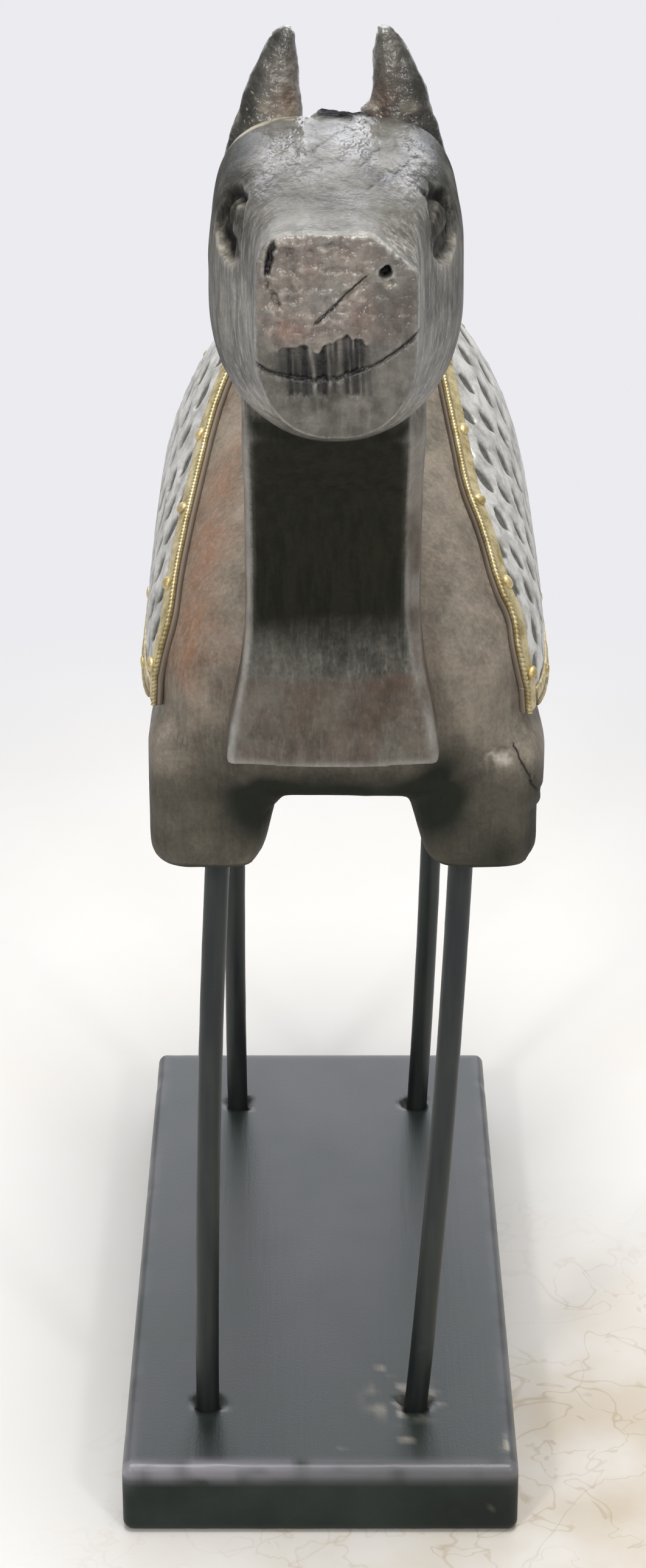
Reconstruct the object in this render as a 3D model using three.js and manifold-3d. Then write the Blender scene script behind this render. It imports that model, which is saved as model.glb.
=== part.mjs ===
// Carved wooden camel standing on four iron rods over a painted base board.
// The torso is one block with its hump and thigh stubs. The neck and head are a second block, let into the
// breast and held by two dowels. Each flank wears an embossed metal sheet edged with nailed brass strip.
// Units are millimetres. +Z is up, the camel faces -Y, and left and right are the camel's own: left is +X.
import * as THREE from "three";
import { mergeVertices } from "three/addons/utils/BufferGeometryUtils.js";
import loadManifold from "manifold-3d";

const manifoldLibrary = await loadManifold();
manifoldLibrary.setup();
const { Manifold, Mesh: SolidMesh } = manifoldLibrary;
const { lerp, smoothstep } = THREE.MathUtils;

// Clearances
const FIT_GAP = 0.3; // wood on wood, rod in socket, sheet on wood
const TRIM_GAP = 0.3; // strip on sheet, tack on strip
const SHANK_GAP = 0.15; // around a tack's shank

// Base board
const BASE_WIDTH = 101;
const BASE_LENGTH = 217;
const BASE_THICKNESS = 20;
const BASE_EDGE_RADIUS = 3;

// Rod legs
const ROD_DIAMETER = 6;
const LEG_HEIGHT = 162; // bare rod between the board and a thigh
const ROD_DEPTH_IN_BOARD = 14;
const ROD_DEPTH_IN_THIGH = 26;
const FEET_TRACK = 53.5; // left foot to right foot on the board
const FRONT_FEET_SHIFT = -2.2; // hand-set feet, off the board's centre line
const REAR_FEET_SHIFT = 2;
const ROD_BOW = 1.6; // how far a rod's middle stands out of its straight line
const FRONT_ROD_INSET = 2.4; // rod's axis from the thigh's middle, towards the other leg
const REAR_ROD_INSET = 3.6;
const FRONT_TOPS_SHIFT = -1.2; // holes drilled by hand, off the thighs' middles
const REAR_TOPS_SHIFT = -1;

// Torso: half a superellipse over its widest level and half below it
const TORSO_LENGTH = 200;
const TORSO_WIDTH = 93;
const TORSO_SHIFT_X = 6; // the figure stands off the board's centre
const TORSO_SHIFT_Y = -2.3;
const BELLY_DEPTH = 32; // widest level down to the belly
const BACK_RISE = 50.5; // widest level up to the back
const HUMP_RISE = 23;
const HUMP_SPREAD = 46;
const PLAN_POWER = 6; // higher is squarer
const BACK_POWER = 2.8;
const DORSAL_POWER = 1.9;
const BELLY_POWER = 6;

// Thigh stubs under the torso
const THIGH_WIDTH = 31;
const THIGH_LENGTH = 36;
const THIGH_DROP = 14; // below the belly
const THIGH_INSET_SIDE = 0; // behind the flank's widest line
const THIGH_TUCK = 3.4; // how far a thigh draws in where it runs under the sheet's hem
const THIGH_INSET_END = 3.8; // behind the torso's end
const THIGH_ROUND = 5.5; // rounded lower edge
const THIGH_POWER = 4;

// Tail carved in relief down the rump
const TAIL_LENGTH = 58;
const TAIL_RADIUS = 4.2;
const TAIL_RELIEF = 1.5; // tail's axis behind the torso's end

// Neck block
const NECK_SHIFT_X = -3; // off the torso's middle
const NECK_WIDTH = 39.5;
const NECK_FOOT_WIDTH = 48;
const NECK_FLARE = 17; // height over which the foot widens
const NECK_FOOT_RISE = 24; // foot above the belly
const NECK_HEIGHT = 81; // foot to jaw
const NECK_FOOT_DEPTH = 33; // seat to the breast's front
const NECK_DEPTH = 24; // seat to the throat's front
const NECK_JAW_DEPTH = 45;
const NECK_CHAMFER = 2.4;
const NAPE_LEAN = 8; // how far the nape leans forward over the neck's height
const SEAT_INSET = 16; // torso's front to the seat that the neck is let back to

// Head
const HEAD_SHIFT_X = 0.4; // off the neck's middle
const HEAD_LENGTH = 96;
const HEAD_WIDTH = 52.5;
const HEAD_HEIGHT = 65;
const MUZZLE_WIDTH = 32;
const MUZZLE_HEIGHT = 41;
const MUZZLE_FALL = 5.8; // crown down to the muzzle's top
const MUZZLE_BEVEL = 1.8;
const POLL_LEAD = 4.5; // poll in front of the seat
const POLL_ROUND = 0.3; // share of the head's length that the poll's rounding takes
const EYE_PLACE = 0.64; // share of the head's length
const EYE_DROP = 16; // below the crown
const EYE_LENGTH = 13;
const NOSTRIL_SPREAD = 23;
const NOSTRIL_DROP = 8; // below the muzzle's top
const NOSTRIL_DIAMETER = 3.2;
const NOSTRIL_DEPTH = 5;
const MOUTH_DROP = 27.5; // below the muzzle's top, at the front
const MOUTH_RISE = 9; // corner of the mouth above its middle
const MOUTH_GROOVE = 2; // width of the cut

// Ears
const EAR_HEIGHT = 28; // lowest outer point to the tip
const EAR_BASE_DROP = 12; // lowest outer point below the crown
const EAR_INNER = 7.2; // inner edge from the head's middle
const EAR_OUTER = 23;
const EAR_TIP = 10.4; // tip from the head's middle
const EAR_THICKNESS = 10;
const EAR_SETBACK = 11; // ear's middle in front of the poll
const PEG_DIAMETER = 7;
const PEG_DEPTH = 9;

// Dowels across the seat
const DOWEL_DIAMETER = 8;
const DOWEL_IN_TORSO = 16;
const DOWEL_IN_NECK = 12;
const DOWEL_HEIGHTS = [12, 29]; // above the neck's foot

// Flank sheets. The chart of a flank is a distance along the torso and a way down its side, where 0 is the
// ridge of the back, 1 is the widest level, and CHART_UNIT is the height of one further unit below it.
const CHART_UNIT = 95;
const SHEET_HEM = 6.5; // lower edge below the widest level
const SHEET_THICKNESS = 0.6;
const EMBOSS_DEPTH = 0.7;
const ROW_PITCH = 9.4; // rows of leaves, counted up the flank from the hem
const LEAF_ROWS = 11;
const LEAF_SPACING = 12.1; // leaves in a row
const LEAF_WIDTH = 7;
const HEM_SPARE = 3; // embossed skin below the hem, cut off with the outline
const EDGE_SKEW = 19.5; // left edge ahead of the right edge beside the neck, each way from their mean
const SKEW_RISE = [0.243, 0.393]; // way down over which the skew grows, and then fades to a small rest
const SKEW_FADE = [0.393, 0.674];
const SKEW_REST = 0.12;
const EDGE_SHARES = [
  [0.1, 0], [0.13, 0.15], [0.192, 0.27], [0.33, 0.337], [0.432, 0.375], [0.534, 0.435],
  [0.697, 0.515], [0.802, 0.59], [0.88, 0.7], [0.9, 0.85], [0.885, 1],
];

// Brass strips and tacks
const STRIP_WIDTH = 4.6;
const STRIP_THICKNESS = 0.8;
const BEAD_WIDTH = 1.4; // raised border along the strip's outer edge
const BEAD_RISE = 0.5; // above the strip's face
const TACK_HEAD_DIAMETER = 3.2;
const TACK_HEAD_HEIGHT = 1.2;
const TACK_SHANK = 1.1; // side of the square shank
const TACK_LENGTH = 9; // under the head
const TACKS_ON_EDGE = 6;
const TACKS_ON_HEM = 4;
const TACKS_ON_RIDGE = 2;
const EDGE_MARGIN = 9; // strip's end to its first tack
const HEM_MARGIN = 14;

// Facets
const TORSO_STATIONS = 20;
const TORSO_RING = 32;
const ROUND_SEGMENTS = 12;
const SLIVER = 0.03; // thinner facets than this, left by a cut, are merged into their neighbours

// Heights and places worked out from the driving dimensions
const THIGH_Z = BASE_THICKNESS + LEG_HEIGHT;
const BELLY_Z = THIGH_Z + THIGH_DROP;
const WIDEST_Z = BELLY_Z + BELLY_DEPTH;
const SEAT_Y = TORSO_SHIFT_Y - TORSO_LENGTH / 2 + SEAT_INSET;
const NECK_X = TORSO_SHIFT_X + NECK_SHIFT_X;
const NECK_Z = BELLY_Z + NECK_FOOT_RISE;
const HEAD_X = NECK_X + HEAD_SHIFT_X;
const JAW_Z = NECK_Z + NECK_HEIGHT;
const CROWN_Z = JAW_Z + HEAD_HEIGHT;
const POLL_Y = SEAT_Y - POLL_LEAD;
const MUZZLE_TOP_Z = CROWN_Z - MUZZLE_FALL;
const CHIN_Z = MUZZLE_TOP_Z - MUZZLE_HEIGHT;
const HEM = 1 + SHEET_HEM / CHART_UNIT;
const SHEET_TOP = FIT_GAP + SHEET_THICKNESS + EMBOSS_DEPTH;
const STRIP_BASE = SHEET_TOP + TRIM_GAP;
const TACK_ACROSS = (STRIP_WIDTH + BEAD_WIDTH) / 2;
const RIDGE_START = 0.004;

const SIDES = [{ name: "left", sign: 1 }, { name: "right", sign: -1 }];
const ENDS = [{ name: "front", sign: -1 }, { name: "rear", sign: 1 }];

const MATERIALS = {
  paintedBoard: { color: 0x24272c, roughness: 0.5, metalness: 0 },
  iron: { color: 0x2c2e2c, roughness: 0.55, metalness: 0.8 },
  torsoWood: { color: 0x6a5247, roughness: 0.5, metalness: 0 },
  headWood: { color: 0x544a45, roughness: 0.45, metalness: 0 },
  dowelWood: { color: 0xb08a5c, roughness: 0.7, metalness: 0 },
  whiteMetal: { color: 0x8f8a84, roughness: 0.4, metalness: 0.9 },
  brass: { color: 0xa98a52, roughness: 0.4, metalness: 0.9 },
};

function vector(x, y, z) {
  return new THREE.Vector3(x, y, z);
}

// A superellipse's height over a place between -1 and 1 across it.
function bulge(place, power) {
  return Math.pow(Math.max(0, 1 - Math.pow(Math.abs(place), power)), 1 / power);
}

function signedPower(value, power) {
  return Math.sign(value) * Math.pow(Math.abs(value), power);
}

// Solids

function solidFromFaces(points, faces) {
  let volume = 0;
  for (const [a, b, c] of faces) {
    volume += points[a].dot(points[b].clone().cross(points[c]));
  }
  const outward = volume > 0 ? faces : faces.map(([a, b, c]) => [a, c, b]);
  return new Manifold(new SolidMesh({
    numProp: 3,
    vertProperties: new Float32Array(points.flatMap((point) => point.toArray())),
    triVerts: new Uint32Array(outward.flat()),
  }));
}

function solidFromGeometry(geometry) {
  const bare = new THREE.BufferGeometry();
  bare.setAttribute("position", geometry.getAttribute("position").clone());
  bare.setIndex(geometry.getIndex());
  const merged = mergeVertices(bare, 1e-4);
  const position = merged.getAttribute("position");
  const points = [];
  for (let i = 0; i < position.count; i++) {
    points.push(new THREE.Vector3().fromBufferAttribute(position, i));
  }
  const index = merged.getIndex().array;
  const faces = [];
  for (let i = 0; i < index.length; i += 3) {
    const [a, b, c] = [index[i], index[i + 1], index[i + 2]];
    if (a !== b && b !== c && c !== a) {
      faces.push([a, b, c]);
    }
  }
  return solidFromFaces(points, faces);
}

function geometryFromSolid(solid) {
  const mesh = solid.asOriginal().simplify(SLIVER).getMesh();
  const geometry = new THREE.BufferGeometry();
  const places = [];
  for (let i = 0; i < mesh.vertProperties.length; i += mesh.numProp) {
    places.push(...mesh.vertProperties.slice(i, i + 3));
  }
  geometry.setAttribute("position", new THREE.Float32BufferAttribute(places, 3));
  geometry.setIndex([...mesh.triVerts]);
  geometry.computeVertexNormals();
  return geometry;
}

// A closed solid through rings of equal count, each end closed by a fan about its middle.
function loft(rings) {
  const count = rings[0].length;
  const points = rings.flat();
  const faces = [];
  for (let r = 0; r + 1 < rings.length; r++) {
    for (let k = 0; k < count; k++) {
      const a = r * count + k;
      const b = r * count + ((k + 1) % count);
      faces.push([a, b, b + count], [a, b + count, a + count]);
    }
  }
  const lastRing = (rings.length - 1) * count;
  for (const start of [0, lastRing]) {
    const middle = vector(0, 0, 0);
    for (let k = 0; k < count; k++) {
      middle.addScaledVector(points[start + k], 1 / count);
    }
    const hub = points.push(middle) - 1;
    for (let k = 0; k < count; k++) {
      const a = start + k;
      const b = start + ((k + 1) % count);
      faces.push(start === 0 ? [hub, b, a] : [hub, a, b]);
    }
  }
  return solidFromFaces(points, faces);
}

function ring(count, place) {
  return Array.from({ length: count }, (_, k) => place((k / count) * 2 * Math.PI));
}

function largestPiece(solid) {
  const pieces = solid.decompose();
  return pieces.reduce((best, piece) => (piece.volume() > best.volume() ? piece : best));
}

function cylinderAlong(start, end, radius, segments = ROUND_SEGMENTS) {
  const axis = end.clone().sub(start);
  const geometry = new THREE.CylinderGeometry(radius, radius, axis.length(), segments);
  const turn = new THREE.Quaternion().setFromUnitVectors(vector(0, 1, 0), axis.clone().normalize());
  geometry.applyQuaternion(turn);
  geometry.translate(...start.clone().add(end).multiplyScalar(0.5).toArray());
  return solidFromGeometry(geometry);
}

function ellipsoid(centre, radii) {
  const geometry = new THREE.SphereGeometry(1, 12, 6);
  geometry.scale(...radii);
  geometry.translate(...centre.toArray());
  return solidFromGeometry(geometry);
}

// Base board and rods

function legPlaces() {
  const across = TORSO_WIDTH / 2 - THIGH_INSET_SIDE - THIGH_WIDTH / 2;
  const along = TORSO_LENGTH / 2 - THIGH_INSET_END - THIGH_LENGTH / 2;
  return ENDS.flatMap((end) => SIDES.map((side) => ({
    name: `leg_${end.name}_${side.name}`,
    side: side.sign,
    thigh: vector(TORSO_SHIFT_X + side.sign * across, TORSO_SHIFT_Y + end.sign * along, THIGH_Z),
    footX: (side.sign * FEET_TRACK) / 2 + (end.sign < 0 ? FRONT_FEET_SHIFT : REAR_FEET_SHIFT),
    topShift: end.sign < 0 ? FRONT_TOPS_SHIFT : REAR_TOPS_SHIFT,
    inset: end.sign < 0 ? FRONT_ROD_INSET : REAR_ROD_INSET,
  })));
}

// The rod's own solid, or with a gap the socket that it stands in.
function rod(leg, gap = 0) {
  const foot = vector(leg.footX, leg.thigh.y, BASE_THICKNESS);
  const top = leg.thigh.clone();
  top.x += leg.topShift - leg.side * leg.inset;
  const way = top.clone().sub(foot).normalize();
  const start = foot.clone().addScaledVector(way, -ROD_DEPTH_IN_BOARD - gap);
  const end = top.clone().addScaledVector(way, ROD_DEPTH_IN_THIGH + gap);
  const control = start.clone().lerp(end, 0.5);
  control.x += 2 * ROD_BOW * leg.side;
  const shape = new THREE.Shape();
  shape.absarc(0, 0, ROD_DIAMETER / 2 + gap, 0, 2 * Math.PI);
  return solidFromGeometry(new THREE.ExtrudeGeometry(shape, {
    steps: 5,
    curveSegments: ROUND_SEGMENTS / 2,
    extrudePath: new THREE.QuadraticBezierCurve3(start, control, end),
  }));
}

function baseBoard() {
  const halfWidth = BASE_WIDTH / 2 - BASE_EDGE_RADIUS;
  const halfLength = BASE_LENGTH / 2 - BASE_EDGE_RADIUS;
  const outline = new THREE.Shape();
  outline.moveTo(-halfWidth, -halfLength);
  outline.lineTo(halfWidth, -halfLength);
  outline.lineTo(halfWidth, halfLength);
  outline.lineTo(-halfWidth, halfLength);
  const geometry = new THREE.ExtrudeGeometry(outline, {
    depth: BASE_THICKNESS - 2 * BASE_EDGE_RADIUS,
    bevelThickness: BASE_EDGE_RADIUS,
    bevelSize: BASE_EDGE_RADIUS,
    bevelSegments: 3,
  });
  geometry.translate(0, 0, BASE_EDGE_RADIUS);
  let board = solidFromGeometry(geometry);
  for (const leg of legPlaces()) {
    board = board.subtract(rod(leg, FIT_GAP));
  }
  return board;
}

// Torso

function torsoSection(y, grow = 0) {
  const along = (y - TORSO_SHIFT_Y) / (TORSO_LENGTH / 2 + grow);
  const hump = HUMP_RISE * Math.exp(-Math.pow((y - TORSO_SHIFT_Y) / HUMP_SPREAD, 2));
  return {
    half: (TORSO_WIDTH / 2 + grow) * bulge(along, PLAN_POWER),
    rise: (BACK_RISE + hump + grow) * bulge(along, BACK_POWER),
    drop: (BELLY_DEPTH + grow) * bulge(along, PLAN_POWER),
  };
}

function torsoBarrel(grow = 0) {
  const rings = [];
  const lastTurn = 1.52;
  for (let i = 0; i <= TORSO_STATIONS; i++) {
    const turn = lerp(-lastTurn, lastTurn, i / TORSO_STATIONS);
    const y = TORSO_SHIFT_Y + (TORSO_LENGTH / 2 + grow) * Math.sin(turn);
    const { half, rise, drop } = torsoSection(y, grow);
    rings.push(ring(TORSO_RING, (angle) => {
      const up = Math.cos(angle);
      const power = 2 / (up > 0 ? DORSAL_POWER : BELLY_POWER);
      const x = TORSO_SHIFT_X + half * signedPower(Math.sin(angle), power);
      return vector(x, y, WIDEST_Z + (up > 0 ? rise : drop) * signedPower(up, power));
    }));
  }
  return loft(rings);
}

function thighStub(leg) {
  const tall = THIGH_DROP + BELLY_DEPTH;
  const steps = [0, 1, 2, 3].map((k) => {
    const turn = (k * Math.PI) / 6;
    return [THIGH_ROUND * (1 - Math.cos(turn)), THIGH_ROUND * (1 - Math.sin(turn))];
  });
  const hem = tall - SHEET_HEM;
  steps.push([hem - 2.2 * THIGH_TUCK, 0], [hem - THIGH_TUCK / 2, THIGH_TUCK], [tall, 2 * THIGH_TUCK]);
  return loft(steps.map(([height, inset]) => ring(16, (angle) => vector(
    leg.thigh.x + (THIGH_WIDTH / 2 - inset) * signedPower(Math.cos(angle), 2 / THIGH_POWER),
    leg.thigh.y + (THIGH_LENGTH / 2 - inset) * signedPower(Math.sin(angle), 2 / THIGH_POWER),
    THIGH_Z + height,
  ))));
}

// The tail hangs from the rump's top and thickens to a tuft near its end.
function tail() {
  const top = WIDEST_Z + 0.62 * BACK_RISE;
  const behind = TORSO_SHIFT_Y + TORSO_LENGTH / 2 + TAIL_RELIEF;
  const rings = [];
  for (let i = 0; i <= 10; i++) {
    const down = i / 10;
    const y = behind - 13 * Math.pow(1 - down, 2.6) - 2 * down * down;
    const tuft = 0.75 + 0.35 * Math.exp(-Math.pow((down - 0.82) / 0.12, 2));
    const radius = TAIL_RADIUS * tuft * (down === 1 ? 0.5 : 1);
    rings.push(ring(10, (angle) => vector(
      TORSO_SHIFT_X + radius * Math.cos(angle),
      y + radius * Math.sin(angle),
      top - TAIL_LENGTH * down,
    )));
  }
  return loft(rings);
}

function torso() {
  let block = torsoBarrel().add(tail());
  for (const leg of legPlaces()) {
    block = block.add(thighStub(leg));
  }
  for (const leg of legPlaces()) {
    block = block.subtract(rod(leg, FIT_GAP));
  }
  block = block.subtract(neckHousing());
  for (const height of DOWEL_HEIGHTS) {
    block = block.subtract(dowel(height, FIT_GAP));
  }
  return block;
}

// Neck and head

function neckHalfWidth(height) {
  const flare = Math.exp(-Math.pow(height / NECK_FLARE, 2));
  return NECK_WIDTH / 2 + ((NECK_FOOT_WIDTH - NECK_WIDTH) / 2) * flare;
}

// The open housing in the breast: the neck's own front outline, grown by the fit and run out to the front.
function neckHousing() {
  const outline = new THREE.Shape();
  const reach = BACK_RISE + HUMP_RISE;
  const heights = [0, 0.12, 0.24, 0.4, 1].map((share) => share * reach);
  outline.moveTo(-neckHalfWidth(0) - FIT_GAP, -FIT_GAP);
  outline.lineTo(neckHalfWidth(0) + FIT_GAP, -FIT_GAP);
  for (const height of heights) {
    outline.lineTo(neckHalfWidth(height) + FIT_GAP, height);
  }
  for (const height of heights.reverse()) {
    outline.lineTo(-neckHalfWidth(height) - FIT_GAP, height);
  }
  const geometry = new THREE.ExtrudeGeometry(outline, { depth: 2 * SEAT_INSET, bevelEnabled: false });
  geometry.rotateX(Math.PI / 2);
  geometry.translate(NECK_X, SEAT_Y, NECK_Z);
  return solidFromGeometry(geometry);
}

function dowel(height, gap = 0) {
  const place = (y) => vector(NECK_X, SEAT_Y + y, NECK_Z + height);
  return cylinderAlong(place(-DOWEL_IN_NECK - gap), place(DOWEL_IN_TORSO + gap), DOWEL_DIAMETER / 2 + gap);
}

function neck() {
  const front = new THREE.SplineCurve([
    new THREE.Vector2(0, NECK_FOOT_DEPTH),
    new THREE.Vector2(0.18, lerp(NECK_DEPTH, NECK_FOOT_DEPTH, 0.3)),
    new THREE.Vector2(0.4, NECK_DEPTH),
    new THREE.Vector2(0.68, lerp(NECK_DEPTH, NECK_JAW_DEPTH, 0.2)),
    new THREE.Vector2(1, NECK_JAW_DEPTH),
  ]);
  const intoHead = HEAD_HEIGHT / 3;
  const rings = [];
  for (let i = 0; i <= 16; i++) {
    const height = (i / 16) * (NECK_HEIGHT + intoHead);
    const share = Math.min(1, height / NECK_HEIGHT);
    const half = neckHalfWidth(height);
    const yFront = SEAT_Y - FIT_GAP - front.getPoint(share).y;
    const yBack = SEAT_Y - FIT_GAP - NAPE_LEAN * smoothstep(share, 0.5, 1);
    const bevel = NECK_CHAMFER;
    const nape = NECK_CHAMFER * lerp(0.1, 1, smoothstep(height, 0.8 * BACK_RISE, 1.2 * BACK_RISE));
    const corners = [
      [half, yFront + bevel], [half, yBack - nape], [half - nape, yBack], [nape - half, yBack],
      [-half, yBack - nape], [-half, yFront + bevel], [bevel - half, yFront], [half - bevel, yFront],
    ];
    rings.push(corners.map(([x, y]) => vector(NECK_X + x, y, NECK_Z + height)));
  }
  return loft(rings);
}

function headSection(share) {
  const poll = share < POLL_ROUND ? bulge(1 - share / POLL_ROUND, 2.4) : 1;
  const top = CROWN_Z - MUZZLE_FALL * smoothstep(share, 0.4, 1.05);
  const bottom = lerp(JAW_Z, CHIN_Z, smoothstep(share, 0.38, 1));
  return {
    half: poll * lerp(HEAD_WIDTH / 2, MUZZLE_WIDTH / 2, smoothstep(share, 0.5, 0.9)),
    middle: (top + bottom) / 2,
    tall: (poll * (top - bottom)) / 2,
    topPower: lerp(3.8, 5.5, smoothstep(share, 0.55, 0.95)),
    chinPower: lerp(3, 2.5, smoothstep(share, 0.55, 0.95)),
  };
}

function headBlock(grow = 0) {
  const bevelShare = MUZZLE_BEVEL / HEAD_LENGTH;
  const stations = [0.01, 0.04, 0.09, 0.16, 0.25, 0.38, 0.5, 0.58, 0.66, 0.74, 0.82, 0.9, 1 - bevelShare, 1];
  return loft(stations.map((share, i) => {
    const { half, middle, tall, topPower, chinPower } = headSection(share);
    const spread = grow - (i === stations.length - 1 ? MUZZLE_BEVEL : 0);
    const y = POLL_Y - HEAD_LENGTH * share;
    return ring(24, (angle) => {
      const power = 2 / (Math.cos(angle) > 0 ? topPower : chinPower);
      const x = HEAD_X + (half + spread) * signedPower(Math.sin(angle), power);
      return vector(x, y, middle + (tall + spread) * signedPower(Math.cos(angle), power));
    });
  }));
}

// A cut that runs from one corner of the mouth round the muzzle's front to the other.
function mouthCut() {
  const z = MUZZLE_TOP_Z - MOUTH_DROP;
  const frontY = POLL_Y - HEAD_LENGTH;
  const half = MUZZLE_WIDTH / 2;
  const back = headSection(0.78).half;
  const curve = new THREE.CatmullRomCurve3([
    vector(HEAD_X - back, POLL_Y - 0.78 * HEAD_LENGTH, z + MOUTH_RISE),
    vector(HEAD_X - half, frontY + MUZZLE_BEVEL, z + 0.45 * MOUTH_RISE),
    vector(HEAD_X - 0.7 * half, frontY, z + 0.2 * MOUTH_RISE),
    vector(HEAD_X, frontY, z),
    vector(HEAD_X + 0.7 * half, frontY, z + 0.2 * MOUTH_RISE),
    vector(HEAD_X + half, frontY + MUZZLE_BEVEL, z + 0.45 * MOUTH_RISE),
    vector(HEAD_X + back, POLL_Y - 0.78 * HEAD_LENGTH, z + MOUTH_RISE),
  ]);
  const shape = new THREE.Shape();
  shape.absarc(0, 0, MOUTH_GROOVE / 2, 0, 2 * Math.PI);
  return solidFromGeometry(new THREE.ExtrudeGeometry(shape, {
    steps: 14,
    curveSegments: 3,
    extrudePath: curve,
  }));
}

function neckAndHead() {
  let block = neck().add(headBlock()).subtract(mouthCut());
  const eyeY = POLL_Y - EYE_PLACE * HEAD_LENGTH;
  const eyeX = headSection(EYE_PLACE).half;
  const frontY = POLL_Y - HEAD_LENGTH;
  for (const { sign } of SIDES) {
    const radius = EYE_LENGTH / 2;
    const eye = vector(HEAD_X + sign * eyeX, eyeY, CROWN_Z - EYE_DROP);
    const inset = vector(HEAD_X + sign * (eyeX - radius / 2), eyeY, CROWN_Z - EYE_DROP);
    block = block.subtract(ellipsoid(eye, [0.6 * radius, radius, 0.8 * radius]));
    block = block.add(ellipsoid(inset, [0.5 * radius, 0.75 * radius, 0.5 * radius]));
    const nostril = vector(HEAD_X + (sign * NOSTRIL_SPREAD) / 2, frontY, MUZZLE_TOP_Z - NOSTRIL_DROP);
    const within = nostril.clone().add(vector(0, NOSTRIL_DEPTH, 0));
    const outside = nostril.clone().add(vector(0, -NOSTRIL_DEPTH, 0));
    block = block.subtract(cylinderAlong(outside, within, NOSTRIL_DIAMETER / 2, 8));
    block = block.subtract(earPeg(sign, FIT_GAP));
  }
  for (const height of DOWEL_HEIGHTS) {
    block = block.subtract(dowel(height, FIT_GAP));
  }
  return block;
}

// Ears

function earPeg(sign, gap = 0) {
  const x = HEAD_X + (sign * (EAR_INNER + EAR_OUTER)) / 2.2;
  const y = POLL_Y - EAR_SETBACK;
  const head = headSection(EAR_SETBACK / HEAD_LENGTH);
  const surface = head.middle + head.tall * bulge((x - HEAD_X) / head.half, head.topPower);
  const bottom = vector(x, y, surface - PEG_DEPTH - gap);
  const top = vector(x, y, surface + PEG_DEPTH / 3);
  return cylinderAlong(bottom, top, PEG_DIAMETER / 2 + gap);
}

function ear(sign) {
  const low = CROWN_Z - EAR_BASE_DROP;
  const levels = [-0.3, 0, 0.5, 0.8, 0.92, 0.98, 1];
  const rings = levels.map((level) => {
    const up = Math.max(0, level);
    const blunt = bulge(0.96 * up, 12);
    const inner = lerp(EAR_TIP, EAR_INNER, blunt);
    const outer = lerp(EAR_TIP, lerp(EAR_OUTER, EAR_TIP + 2, up), blunt);
    const thick = EAR_THICKNESS * (1 - 0.6 * up * up) * blunt;
    return ring(12, (angle) => vector(
      HEAD_X + sign * ((inner + outer) / 2 + ((outer - inner) / 2) * Math.cos(angle)),
      POLL_Y - EAR_SETBACK + (thick / 2) * Math.sin(angle),
      low + EAR_HEIGHT * level,
    ));
  });
  const blade = loft(rings).subtract(headBlock(FIT_GAP));
  return largestPiece(blade.add(earPeg(sign)));
}

// Flank sheets

function flankPoint(side, y, down) {
  const { half, rise, drop } = torsoSection(y);
  if (down <= 1) {
    const angle = (down * Math.PI) / 2;
    const x = half * Math.pow(Math.sin(angle), 2 / DORSAL_POWER);
    const z = rise * Math.pow(Math.max(0, Math.cos(angle)), 2 / DORSAL_POWER);
    return vector(TORSO_SHIFT_X + side * x, y, WIDEST_Z + z);
  }
  const below = (down - 1) * CHART_UNIT;
  return vector(TORSO_SHIFT_X + side * half * bulge(below / drop, BELLY_POWER), y, WIDEST_Z - below);
}

// The flank's two tangents, along the torso and down its side, and its outward normal.
function flankFrame(side, y, down) {
  const spot = Math.max(down, 0.003);
  const along = flankPoint(side, y + 0.1, spot).sub(flankPoint(side, y - 0.1, spot)).divideScalar(0.2);
  const downward = flankPoint(side, y, spot + 0.002).sub(flankPoint(side, y, spot - 0.002)).divideScalar(0.004);
  const normal = along.clone().cross(downward).multiplyScalar(-side).normalize();
  return { along, downward, normal };
}

function raisedPoint(side, y, down, height) {
  return flankPoint(side, y, down).addScaledVector(flankFrame(side, y, down).normal, height);
}

// A sheet's front or rear edge in the flank's chart, from the ridge at 0 to the hem at 1.
function edgePath(side, end) {
  const curve = new THREE.SplineCurve(EDGE_SHARES.map(([ahead, down]) => new THREE.Vector2(ahead, down)));
  return (t) => {
    const { x: ahead, y: down } = curve.getPoint(t);
    const lead = smoothstep(down, ...SKEW_RISE) * lerp(1, SKEW_REST, smoothstep(down, ...SKEW_FADE));
    const skew = end < 0 ? -side * EDGE_SKEW * lead : 0;
    return {
      y: TORSO_SHIFT_Y + (end * ahead * TORSO_LENGTH) / 2 + skew,
      down: lerp(RIDGE_START, HEM, THREE.MathUtils.clamp(down, 0, 1)),
    };
  };
}

function hemPath(side) {
  const start = edgePath(side, -1)(1).y + STRIP_WIDTH + TRIM_GAP;
  const end = edgePath(side, 1)(1).y - STRIP_WIDTH - TRIM_GAP;
  return (t) => ({ y: lerp(start, end, t), down: HEM });
}

// The way down the flank at each row line of a station. Rows are counted up from the hem, a pitch apart, or less
// where the flank is too short for them.
function rowLines(side, y) {
  const fine = 60;
  const downs = [];
  const rises = [];
  for (let k = 0; k <= fine; k++) {
    downs.push(lerp(HEM, RIDGE_START, k / fine));
    const step = k ? flankPoint(side, y, downs[k]).distanceTo(flankPoint(side, y, downs[k - 1])) : 0;
    rises.push(k ? rises[k - 1] + step : 0);
  }
  const pitch = Math.min(ROW_PITCH, rises[fine] / (LEAF_ROWS + 0.5));
  return (row) => {
    const k = Math.max(1, rises.findIndex((rise) => rise >= row * pitch));
    return lerp(downs[k - 1], downs[k], (row * pitch - rises[k - 1]) / (rises[k] - rises[k - 1]));
  };
}

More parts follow.
